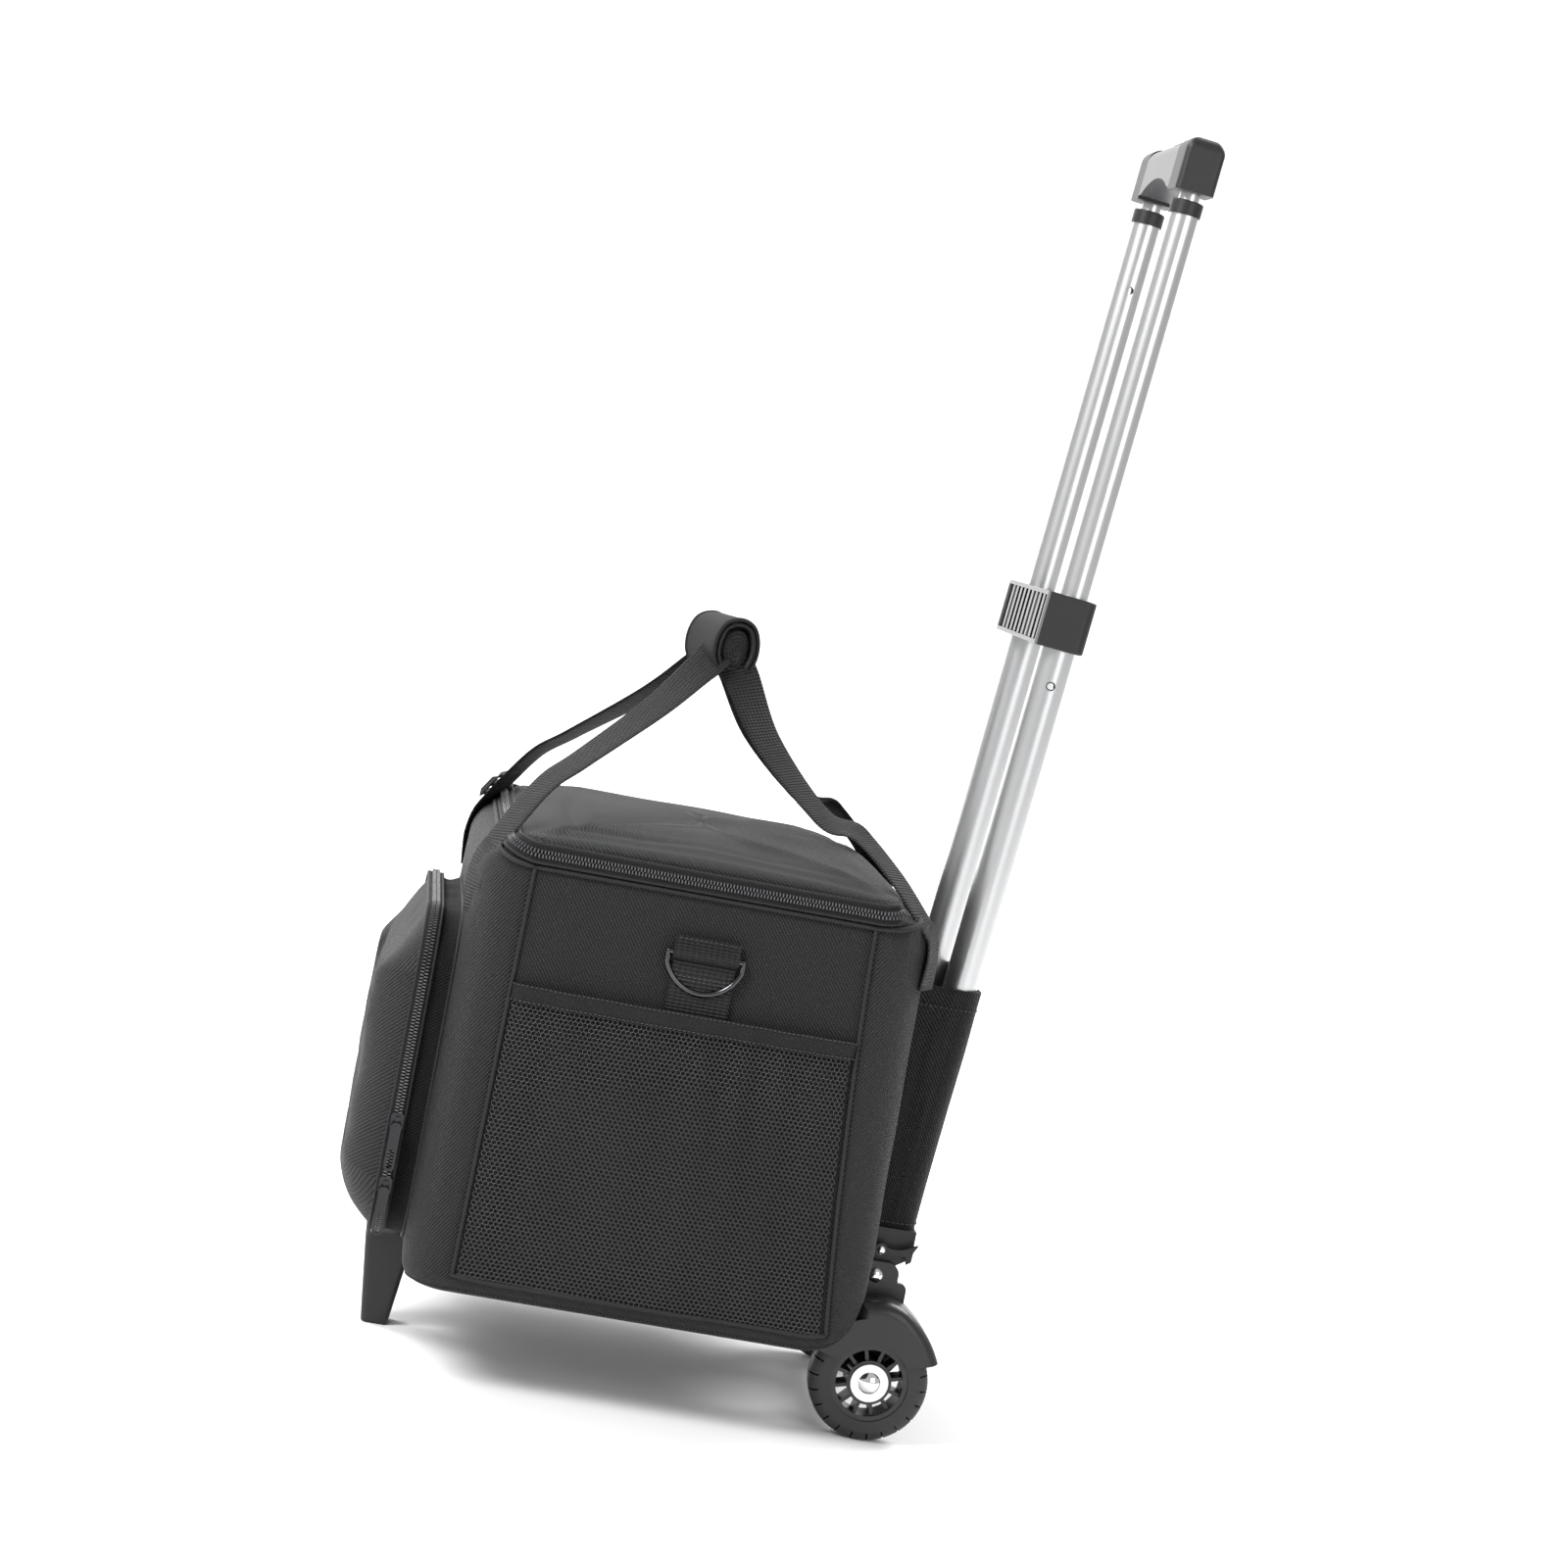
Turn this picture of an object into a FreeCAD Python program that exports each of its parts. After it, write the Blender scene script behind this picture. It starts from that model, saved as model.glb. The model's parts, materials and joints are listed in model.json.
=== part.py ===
"""Wheeled carry bag for a party speaker.

A soft bag stands on a small folding cart: two telescoping tube pairs with a moulded grip,
a yoke over the lower tubes, sockets at their feet, a wheel truck that folds about two rivets,
a base plate under the bag and one front foot.
Frame: +X to the bag's right side, -Y to its front pocket, +Z up, millimetres. It is drawn
from the point on the ground where the line of the tubes meets it, and written with its
origin under the middle of its overall box.
"""
import FreeCAD, Part
import math
import os

from FreeCAD import Vector

os.makedirs("parts", exist_ok=True)

# ---------------------------------------------------------------- driving dimensions
BAG_WIDTH = 300.0            # outside, along X
BAG_DEPTH = 282.0            # outside, along Y
BAG_FLOOR = 60.0             # underside of the bag above the ground
BAG_HEIGHT = 273.0           # floor to the rim under the lid
BAG_WALL = 3.0               # padded fabric wall
BAG_BACK = -8.0              # back panel's plane
BAG_CORNER = 34.0            # vertical corner radius
BAG_TOE = 14.0               # radius of the other lower edges
BAG_SHOULDER = 22.0          # radius of the upper front and back edges, beside the lid
BOARD_THICK = 3.0            # stiffener inside the floor
LID_RISE = 13.0              # lid skirt, rim to shoulder
LID_CROWN = 8.0              # how far the lid's middle stands above its shoulder
LID_WALL = 3.0
LID_CORNER = 16.0

MAST_LEAN = 4.9              # degrees that the tubes lean back
TUBE_SPACING = 120.0         # between the two tube axes
TUBE_LOWER_D = 22.0
TUBE_MIDDLE_D = 18.4
TUBE_INNER_D = 13.0
TUBE_WALL = 1.2
TUBE_FOOT_ABOVE_RIVET = 16.0
TUBE_LOWER_TOP = 538.0       # all mast heights are measured along the tubes
TUBE_MIDDLE_OVERLAP = 83.0   # middle tube left in the lower one
TUBE_MIDDLE_TOP = 793.0
TUBE_INNER_OVERLAP = 293.0   # inner tube in the middle one, with the upper stage down
UPPER_TRAVEL = 220.0         # travel of the inner tubes, upwards
COLLAR_HEIGHT = 9.0
COLLAR_LIP = 1.0             # collar's step over the middle tube

YOKE_HEIGHT = 34.0
YOKE_FRONT = 17.0            # yoke's front face ahead of the tube axes
YOKE_REAR = 14.0
YOKE_SIDE = 5.0              # wall outside the tubes
YOKE_CORNER = 7.0
BEZEL_THICK = 1.6
BEZEL_BORDER = 2.6
RIB_COUNT = 9

GRIP_ABOVE_TUBE = 8.0        # middle tube's top to the grip's underside
GRIP_HEIGHT = 34.0
GRIP_DEPTH = 25.0
GRIP_OVERHANG = 14.5         # cap's outer face beyond the tube axis
GRIP_ARCH = 9.0              # rise of the arched underside
GRIP_ROUND = 8.5             # radius along the caps' top
GRIP_SPLIT = 15.5            # parting line above the grip's underside
CAP_INSET = 13.0             # cap's inner face ahead of the tube axis, towards the middle
BUTTON_LENGTH = 30.0
BUTTON_DEPTH = 11.0
BUTTON_CORNER = 3.8
BUTTON_PROUD = 2.4
BUTTON_TRAVEL = 3.5
CROSSBAR_HEIGHT = 4.0
ROD_D = 4.0

LOWER_PIN_ABOVE_FOOT = 30.0  # pins that hold the middle tubes
UPPER_PIN_ABOVE_FOOT = 23.0  # pins that hold the inner tubes
LOWER_PIN_D = 5.0
UPPER_PIN_D = 4.0
PIN_TRAVEL = 3.0
PIN_GAP = 0.2                # between a pin's tip and the bore that it locks in

WHEEL_D = 75.0
WHEEL_AXIS_Y = 10.0
WHEEL_ROOM = 2.0             # tyre to the fender's inside
WHEEL_BEHIND_HEEL = 1.2      # fender to the bag's rounded heel
TYRE_WIDTH = 22.0
TYRE_BORE_R = 24.4
TYRE_SHOULDER = 7.0
TREAD_SLITS = 22
RIM_INNER_R = 21.2           # inside of the rim's ring
HUB_R = 14.0
HUB_RECESS = 2.0             # spokes and hub stand back from the tyre's side
SPOKE_COUNT = 12
SPOKE_THICK = 2.2
AXLE_D = 8.0
WASHER_R = 11.9
WASHER_THICK = 1.2
CAP_R = 6.9
BEAM_R = 8.0

FENDER_WALL = 2.5
FENDER_REACH = 7.3           # tip beyond the tyre
FENDER_WINDOW_R = 25.0       # opening over the rim
FENDER_FILLET = 8.0
LUG_THICK = 4.0
RIVET_Y = 4.0
RIVET_ABOVE_TYRE = 26.0
RIVET_D = 7.0
RIVET_HEAD_R = 4.8
LATCH_SCREW_ABOVE_RIVET = 17.0
LATCH_SCREW_D = 3.0
LATCH_THICK = 2.4

SOCKET_WALL = 3.0            # round the tube
SOCKET_HEIGHT = 38.0         # from the tube's foot up, partly below it
SCREW_D = 3.0
SCREW_HEAD = 1.5
SCREW_LENGTH = 9.0
SCREW_ASIDE = 8.0            # from the tube axis, outwards
SLEEVE_ABOVE_FLOOR = 66.0
SLEEVE_BELOW_RIM = 47.0
SLEEVE_WALL = 3.0

PLATE_THICK = 4.0
PLATE_SIDE = 60.0            # bag's side to the plate's
PLATE_INSET = 22.0           # bag's front to the plate's
TONGUE_WIDTH = 26.0
FOOT_WIDTH = 24.0
FOOT_SOLE = 17.0             # length of the sole, along Y
FOOT_HEAD = 31.0             # length at the top, along Y
FOOT_PROUD = 15.0            # sole's front edge ahead of the bag
FOOT_CORNER = 4.0

POCKET_SIDE = 38.0           # bag's side to the pocket's
POCKET_ABOVE_FLOOR = 16.0
POCKET_BELOW_RIM = 51.0
POCKET_GUSSET = 18.0         # depth of the side band
POCKET_BULGE = 29.5          # how far the front panel domes out
POCKET_CORNER = 36.0
POCKET_WALL = 2.0

MESH_BULGE = 9.0
MESH_WALL = 1.2
MESH_FRONT_INSET = 34.0      # bag's front to the net's front edge
MESH_REAR_INSET = 36.0
MESH_ABOVE_FLOOR = 10.0
MESH_BELOW_RIM = 79.0

RING_BEHIND_MIDDLE = 3.0
RING_BELOW_RIM = 43.0
RING_WIDTH = 49.0
RING_DROP = 24.6
RING_WIRE = 3.4
TAB_WIDTH = 38.0
TAB_THICK = 2.2
TAB_ABOVE_RING = 11.0

STRAP_WIDTH = 25.0
STRAP_THICK = 2.0
STRAP_SIDE = 38.0            # bag's side to the middle of a sewn strap end
WRAP_LENGTH = 62.0
WRAP_R = 23.0
APEX_AHEAD = 7.0             # wrap ahead of the bag's middle
APEX_ABOVE_RIM = 137.0

SLIDER_LENGTH = 11.0
SLIDER_WIDTH = 8.0
SLIDER_THICK = 4.0
PULLER_LENGTH = 30.0
PULLER_WIDTH = 6.5
PULLER_THICK = 2.0
LID_SLIDER_AHEAD = 54.0      # rear slider ahead of the lid's back edge, the other one further on
LID_SLIDER_STEP = 24.0
POCKET_SLIDER_HIGH = 76.0    # above the pocket's lower edge
POCKET_SLIDER_LOW = 36.0

GAP = 0.3                    # between pieces that move past each other
RUN_FIT = 0.05               # radial clearance of a running fit

# ---------------------------------------------------------------- worked-out places
HALF_W = BAG_WIDTH / 2
BAG_FRONT = BAG_BACK - BAG_DEPTH
BAG_RIM = BAG_FLOOR + BAG_HEIGHT
BAG_MIDDLE = BAG_BACK - BAG_DEPTH / 2
LID_FRONT = BAG_FRONT + BAG_SHOULDER
LID_BACK = BAG_BACK - BAG_SHOULDER - 1.0
WHEEL_R = WHEEL_D / 2
AXLE = Vector(0, WHEEL_AXIS_Y, WHEEL_R)
# The lower back edge is the radius that just clears a circle of WHEEL_SWEEP about the axle.
WHEEL_SWEEP = WHEEL_R + WHEEL_ROOM + FENDER_WALL + WHEEL_BEHIND_HEEL
AXLE_BEHIND = WHEEL_AXIS_Y - BAG_BACK
AXLE_BELOW = BAG_FLOOR - WHEEL_R
HEEL_SPARE = WHEEL_SWEEP - AXLE_BEHIND - AXLE_BELOW
BAG_HEEL = HEEL_SPARE + math.sqrt(HEEL_SPARE ** 2 - AXLE_BEHIND ** 2 - AXLE_BELOW ** 2 + WHEEL_SWEEP ** 2)
HEEL_Y = BAG_BACK - BAG_HEEL
HEEL_Z = BAG_FLOOR + BAG_HEEL
RIVET_Z = WHEEL_D + RIVET_ABOVE_TYRE
LATCH_SCREW_Z = RIVET_Z + LATCH_SCREW_ABOVE_RIVET
TUBE_LOWER_FOOT = RIVET_Z + TUBE_FOOT_ABOVE_RIVET
TUBE_MIDDLE_FOOT = TUBE_LOWER_TOP - TUBE_MIDDLE_OVERLAP
TUBE_INNER_FOOT = TUBE_MIDDLE_TOP - TUBE_INNER_OVERLAP
LOWER_PIN_AT = TUBE_MIDDLE_FOOT + LOWER_PIN_ABOVE_FOOT
UPPER_PIN_AT = TUBE_INNER_FOOT + UPPER_PIN_ABOVE_FOOT
GRIP_BOTTOM = TUBE_MIDDLE_TOP + GRIP_ABOVE_TUBE
SLEEVE_BOTTOM = BAG_FLOOR + SLEEVE_ABOVE_FLOOR
SLEEVE_TOP = BAG_RIM - SLEEVE_BELOW_RIM
PLATE_WIDTH = BAG_WIDTH - 2 * PLATE_SIDE
PLATE_FRONT = BAG_FRONT + PLATE_INSET
FOOT_FRONT = BAG_FRONT - FOOT_PROUD
POCKET_WIDTH = BAG_WIDTH - 2 * POCKET_SIDE
POCKET_BOTTOM = BAG_FLOOR + POCKET_ABOVE_FLOOR
POCKET_TOP = BAG_RIM - POCKET_BELOW_RIM
MESH_FRONT = BAG_FRONT + MESH_FRONT_INSET
MESH_REAR = BAG_BACK - MESH_REAR_INSET
MESH_BOTTOM = BAG_FLOOR + MESH_ABOVE_FLOOR
MESH_TOP = BAG_RIM - MESH_BELOW_RIM
RING_Y = BAG_MIDDLE + RING_BEHIND_MIDDLE
RING_Z = BAG_RIM - RING_BELOW_RIM
TAB_BOTTOM = MESH_TOP + 1.0
TAB_TOP = RING_Z + TAB_ABOVE_RING
STRAP_X = HALF_W - STRAP_SIDE
APEX_Y = BAG_MIDDLE - APEX_AHEAD
APEX_Z = BAG_RIM + APEX_ABOVE_RIM
TUBE_X = TUBE_SPACING / 2
LOWER_R = TUBE_LOWER_D / 2
MIDDLE_R = TUBE_MIDDLE_D / 2
INNER_R = TUBE_INNER_D / 2
SOCKET_OUT = TUBE_X + LOWER_R + SOCKET_WALL + 3.0
SOCKET_IN = TUBE_X - LOWER_R - SOCKET_WALL
LUG_IN = SOCKET_OUT + GAP + 0.2
LUG_OUT = LUG_IN + LUG_THICK
TYRE_IN = LUG_IN + FENDER_WALL + 1.2
TYRE_OUT = TYRE_IN + TYRE_WIDTH
FENDER_OUT = TYRE_OUT + 1.2 + FENDER_WALL
RIVET = Vector(0, RIVET_Y, RIVET_Z)
YOKE_TOP = TUBE_LOWER_TOP + 4.0
YOKE_BOTTOM = YOKE_TOP - YOKE_HEIGHT
YOKE_HALF = TUBE_X + LOWER_R + YOKE_SIDE
GRIP_HALF = TUBE_X + GRIP_OVERHANG
GRIP_TOP = GRIP_BOTTOM + GRIP_HEIGHT
GRIP_JOIN = TUBE_X - CAP_INSET
POCKET_FACE = BAG_FRONT - POCKET_GUSSET
PLATE_TOP = BAG_FLOOR
PLATE_LOW = PLATE_TOP - PLATE_THICK
SCREW_HEIGHTS = (RIVET_Z - 6, RIVET_Z + 8)
LEAN = math.radians(MAST_LEAN)
FRONT_MOST = POCKET_FACE - GAP - POCKET_BULGE
REAR_MOST = ((GRIP_DEPTH / 2 - GRIP_ROUND) * math.cos(LEAN) + (GRIP_TOP - GRIP_ROUND) * math.sin(LEAN)
             + GRIP_ROUND)
TO_ORIGIN = Vector(0, -(FRONT_MOST + REAR_MOST) / 2, 0)
CENTRE = Vector(0, 0, 0)
ALONG_X = Vector(1, 0, 0)
ALONG_Y = Vector(0, 1, 0)
ALONG_Z = Vector(0, 0, 1)


# ---------------------------------------------------------------- helpers
def export(name, shape):
    """Write one node about the origin; every solid in it is kept separate."""
    moved = shape.copy()
    moved.translate(TO_ORIGIN)
    moved.exportStep("parts/" + name + ".step")


def box(x0, x1, y0, y1, z0, z1):
    return Part.makeBox(x1 - x0, y1 - y0, z1 - z0, Vector(x0, y0, z0))


def rod(radius, start, end):
    """A round bar between two points."""
    line = end - start
    return Part.makeCylinder(radius, line.Length, start, line)


def pipe(radius, wall, start, end):
    """A tube between two points."""
    return rod(radius, start, end).cut(rod(radius - wall, start, end))


def mirrored(shape):
    """The same piece on the bag's other side."""
    return shape.mirror(CENTRE, ALONG_X)


def leaning(shape):
    """A piece drawn along +Z, turned onto the leaning tubes."""
    turned = shape.copy()
    turned.rotate(CENTRE, ALONG_X, -MAST_LEAN)
    return turned


def mast_y(height):
    """Y of the tube axes at a height above the ground."""
    return height * math.tan(math.radians(MAST_LEAN))


def plan_wire(x_half, y0, y1, corner, z):
    """A rectangle with round corners, level, as one wire."""
    straight_x = x_half - corner
    low, high = y0 + corner, y1 - corner
    diag = corner * math.sqrt(0.5)
    corners = [
        (Vector(straight_x, y0, z), Vector(straight_x + diag, low - diag, z), Vector(x_half, low, z)),
        (Vector(x_half, high, z), Vector(straight_x + diag, high + diag, z), Vector(straight_x, y1, z)),
        (Vector(-straight_x, y1, z), Vector(-straight_x - diag, high + diag, z), Vector(-x_half, high, z)),
        (Vector(-x_half, low, z), Vector(-straight_x - diag, low - diag, z), Vector(-straight_x, y0, z)),
    ]
    edges = []
    for here, after in zip(corners, corners[1:] + corners[:1]):
        edges.append(Part.Arc(*here).toShape())
        edges.append(Part.LineSegment(here[2], after[0]).toShape())
    return Part.Wire(edges)


def plan_slab(x_half, y0, y1, corner, z0, z1):
    """A rounded rectangle carried straight up."""
    face = Part.Face(plan_wire(x_half, y0, y1, corner, z0))
    return face.extrude(Vector(0, 0, z1 - z0))


def upright_slab(x_half, z0, z1, corner, y0, y1):
    """A rounded rectangle that stands upright, carried along Y from y0 to y1."""
    slab = plan_slab(x_half, z0, z1, corner, 0, y1 - y0)
    slab.rotate(CENTRE, ALONG_X, 90)
    slab.translate(Vector(0, y1, 0))
    return slab


def side_plate(points, x0, x1):
    """An outline in the YZ plane, carried along X; a three-point tuple is an arc."""
    edges = []
    for piece in points:
        places = [Vector(x0, y, z) for y, z in piece]
        curve = Part.Arc(*places) if len(places) == 3 else Part.LineSegment(*places)
        edges.append(curve.toShape())
    return Part.Face(Part.Wire(edges)).extrude(Vector(x1 - x0, 0, 0))


def edges_where(shape, test):
    return [edge for edge in shape.Edges if test(edge)]


def triangle(a, b, c):
    return Part.Face(Part.makePolygon([a, b, c, a]))


def ribbon(stations, width, thick):
    """Flat webbing through stations of (centre, across, face normal), in flat facets."""
    rings = []
    for centre, across, normal in stations:
        side = Vector(across).normalize() * (width / 2)
        up = Vector(normal).normalize() * (thick / 2)
        rings.append([centre + side + up, centre - side + up, centre - side - up, centre + side - up])
    faces = []
    for ring in (rings[0], rings[-1]):
        faces += [triangle(ring[0], ring[1], ring[2]), triangle(ring[0], ring[2], ring[3])]
    for near, far in zip(rings, rings[1:]):
        for low, high in ((0, 1), (1, 2), (2, 3), (3, 0)):
            faces.append(triangle(near[low], near[high], far[high]))
            faces.append(triangle(near[low], far[high], far[low]))
    solid = Part.Solid(Part.Shell(faces))
    if solid.Volume < 0:
        solid.reverse()
    return solid


def right_and_left(name, shape):
    export(name + "_right", shape)
    export(name + "_left", mirrored(shape))


# ---------------------------------------------------------------- telescoping mast
def lower_tube():
    """Lower tube with the hole that its neighbour's pin locks in."""
    tube = pipe(LOWER_R, TUBE_WALL, Vector(TUBE_X, 0, TUBE_LOWER_FOOT), Vector(TUBE_X, 0, TUBE_LOWER_TOP))
    hole = rod(LOWER_PIN_D / 2 + 0.5, Vector(TUBE_X, 0, LOWER_PIN_AT),
               Vector(TUBE_X + TUBE_LOWER_D, 0, LOWER_PIN_AT))
    return leaning(tube.cut(hole))


def middle_tube():
    """Middle tube: a pin hole at its foot, and a locking hole near its top."""
    tube = pipe(MIDDLE_R, TUBE_WALL, Vector(TUBE_X, 0, TUBE_MIDDLE_FOOT), Vector(TUBE_X, 0, TUBE_MIDDLE_TOP))
    pin_hole = rod(LOWER_PIN_D / 2 + 0.2, Vector(TUBE_X, 0, LOWER_PIN_AT),
                   Vector(TUBE_X + TUBE_MIDDLE_D, 0, LOWER_PIN_AT))
    high = UPPER_PIN_AT + UPPER_TRAVEL
    lock_hole = rod(UPPER_PIN_D / 2 + 0.6, Vector(TUBE_X, 0, high), Vector(TUBE_X - TUBE_MIDDLE_D, 0, high))
    return leaning(tube.cut(pin_hole).cut(lock_hole))


def inner_tube():
    tube = pipe(INNER_R, TUBE_WALL, Vector(TUBE_X, 0, TUBE_INNER_FOOT), Vector(TUBE_X, 0, GRIP_BOTTOM + 10))
    hole = rod(UPPER_PIN_D / 2 + 0.2, Vector(TUBE_X, 0, UPPER_PIN_AT),
               Vector(TUBE_X - TUBE_INNER_D, 0, UPPER_PIN_AT))
    return leaning(tube.cut(hole))


def middle_collar():
    """Ring on top of a middle tube, which also guides the inner tube."""
    radius = MIDDLE_R + COLLAR_LIP
    low = TUBE_MIDDLE_TOP - COLLAR_HEIGHT + 3
    outside = rod(radius, Vector(TUBE_X, 0, low), Vector(TUBE_X, 0, TUBE_MIDDLE_TOP + 3))
    top_edge = edges_where(outside, lambda edge: edge.CenterOfMass.z > TUBE_MIDDLE_TOP + 2.9)
    outside = outside.makeFillet(COLLAR_LIP * 0.9, top_edge)
    outside = outside.cut(rod(MIDDLE_R, Vector(TUBE_X, 0, low), Vector(TUBE_X, 0, TUBE_MIDDLE_TOP)))
    guide = rod(MIDDLE_R - TUBE_WALL, Vector(TUBE_X, 0, TUBE_MIDDLE_TOP - 14),
                Vector(TUBE_X, 0, TUBE_MIDDLE_TOP + 1))
    bore = rod(INNER_R + RUN_FIT, Vector(TUBE_X, 0, TUBE_MIDDLE_TOP - 20),
               Vector(TUBE_X, 0, TUBE_MIDDLE_TOP + 9))
    return leaning(outside.fuse(guide).cut(bore).removeSplitter())


def pin_carrier(tube_r, pin_r, height, foot, side):
    """Plug in a tube's foot with the cross bore that a lock pin slides in."""
    plug = rod(tube_r - TUBE_WALL, Vector(TUBE_X, 0, foot), Vector(TUBE_X, 0, height + 8))
    bore = rod(pin_r + RUN_FIT, Vector(TUBE_X - side * (PIN_TRAVEL + 1.5), 0, height),
               Vector(TUBE_X + side * TUBE_LOWER_D, 0, height))
    return leaning(plug.cut(bore))


def lock_pin(radius, height, reach, side):
    """Round-nosed pin; its tip stands just inside the bore that it locks in."""
    start = Vector(TUBE_X + side * 0.5, 0, height)
    end = Vector(TUBE_X + side * reach, 0, height)
    pin = rod(radius, start, end)
    tip = edges_where(pin, lambda edge: abs(edge.CenterOfMass.x - end.x) < 0.01)
    return leaning(pin.makeFillet(radius * 0.4, tip))


def make_mast():
    right_and_left("tube_lower", lower_tube())
    right_and_left("tube_middle", middle_tube())
    right_and_left("tube_inner", inner_tube())
    collar = middle_collar()
    export("middle_collars", Part.makeCompound([collar, mirrored(collar)]))
    middle = pin_carrier(MIDDLE_R, LOWER_PIN_D / 2, LOWER_PIN_AT, TUBE_MIDDLE_FOOT, 1)
    export("pin_carriers_middle", Part.makeCompound([middle, mirrored(middle)]))
    upper = pin_carrier(INNER_R, UPPER_PIN_D / 2, UPPER_PIN_AT, TUBE_INNER_FOOT, -1)
    export("pin_carriers_upper", Part.makeCompound([upper, mirrored(upper)]))
    lower_reach = LOWER_R - TUBE_WALL - PIN_GAP
    right_and_left("pin_lower", lock_pin(LOWER_PIN_D / 2, LOWER_PIN_AT, lower_reach, 1))
    upper_reach = MIDDLE_R - TUBE_WALL - PIN_GAP
    right_and_left("pin_upper", lock_pin(UPPER_PIN_D / 2, UPPER_PIN_AT, upper_reach, -1))


# ---------------------------------------------------------------- yoke
def make_yoke():
    """Moulded block on the lower tubes' tops, with a ribbed inlay in a bezel on its front."""
    block = plan_slab(YOKE_HALF, -YOKE_FRONT, YOKE_REAR, YOKE_CORNER, YOKE_BOTTOM, YOKE_TOP)
    square_front = box(-YOKE_HALF, YOKE_HALF, -YOKE_FRONT, -YOKE_FRONT + YOKE_CORNER, YOKE_BOTTOM, YOKE_TOP)
    block = block.fuse(square_front).removeSplitter()
    rear_edges = edges_where(block, lambda edge: edge.CenterOfMass.y > YOKE_REAR - 0.1
                             or (abs(edge.CenterOfMass.x) > YOKE_HALF - YOKE_CORNER
                                 and edge.CenterOfMass.y > YOKE_REAR - YOKE_CORNER + 0.1))
    level = [edge for edge in rear_edges if abs(edge.tangentAt(edge.FirstParameter).z) < 0.01]
    block = block.makeFillet(1.5, level)
    for side in (1, -1):
        axis_x = side * TUBE_X
        seat = rod(LOWER_R, Vector(axis_x, 0, YOKE_BOTTOM - 1), Vector(axis_x, 0, TUBE_LOWER_TOP))
        way = rod(MIDDLE_R + GAP, Vector(axis_x, 0, YOKE_BOTTOM), Vector(axis_x, 0, YOKE_TOP + 1))
        block = block.cut(seat).cut(way)
    recess_half = YOKE_HALF - BEZEL_BORDER
    recess = box(-recess_half, recess_half, -YOKE_FRONT - 1, -YOKE_FRONT + 3.0,
                 YOKE_BOTTOM + BEZEL_BORDER, YOKE_TOP - BEZEL_BORDER)
    export("bracket_yoke", leaning(block.cut(recess)))

    face = -YOKE_FRONT
    bezel = box(-YOKE_HALF, YOKE_HALF, face - BEZEL_THICK, face, YOKE_BOTTOM, YOKE_TOP)
    window = box(-recess_half, recess_half, face - BEZEL_THICK - 1, face + 1,
                 YOKE_BOTTOM + BEZEL_BORDER, YOKE_TOP - BEZEL_BORDER)
    export("bracket_bezel", leaning(bezel.cut(window)))

    inlay = box(-recess_half + 0.1, recess_half - 0.1, face + 1.4, face + 3.0,
                YOKE_BOTTOM + BEZEL_BORDER + 0.1, YOKE_TOP - BEZEL_BORDER - 0.1)
    pitch = 2 * recess_half / (RIB_COUNT + 1)
    for index in range(RIB_COUNT):
        middle = -recess_half + pitch * (index + 1)
        rib = box(middle - pitch * 0.3, middle + pitch * 0.3, face - 0.6, face + 1.5,
                  YOKE_BOTTOM + BEZEL_BORDER + 0.1, YOKE_TOP - BEZEL_BORDER - 0.1)
        crest = edges_where(rib, lambda edge: edge.CenterOfMass.y < face - 0.5
                            and abs(edge.tangentAt(edge.FirstParameter).z) > 0.9)
        inlay = inlay.fuse(rib.makeFillet(1.2, crest))
    export("bracket_cover", leaning(inlay.removeSplitter()))


# ---------------------------------------------------------------- grip
def grip_profile(x0, x1, low, high, front_r):
    """Rounded section across the grip, carried along X."""
    half = GRIP_DEPTH / 2
    bar = box(x0, x1, -half, half, low, high)
    long_edges = edges_where(bar, lambda edge: abs(edge.tangentAt(edge.FirstParameter).x) > 0.9
                             and edge.CenterOfMass.z > high - 0.1)
    return bar.makeFillet(front_r, long_edges)


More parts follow.
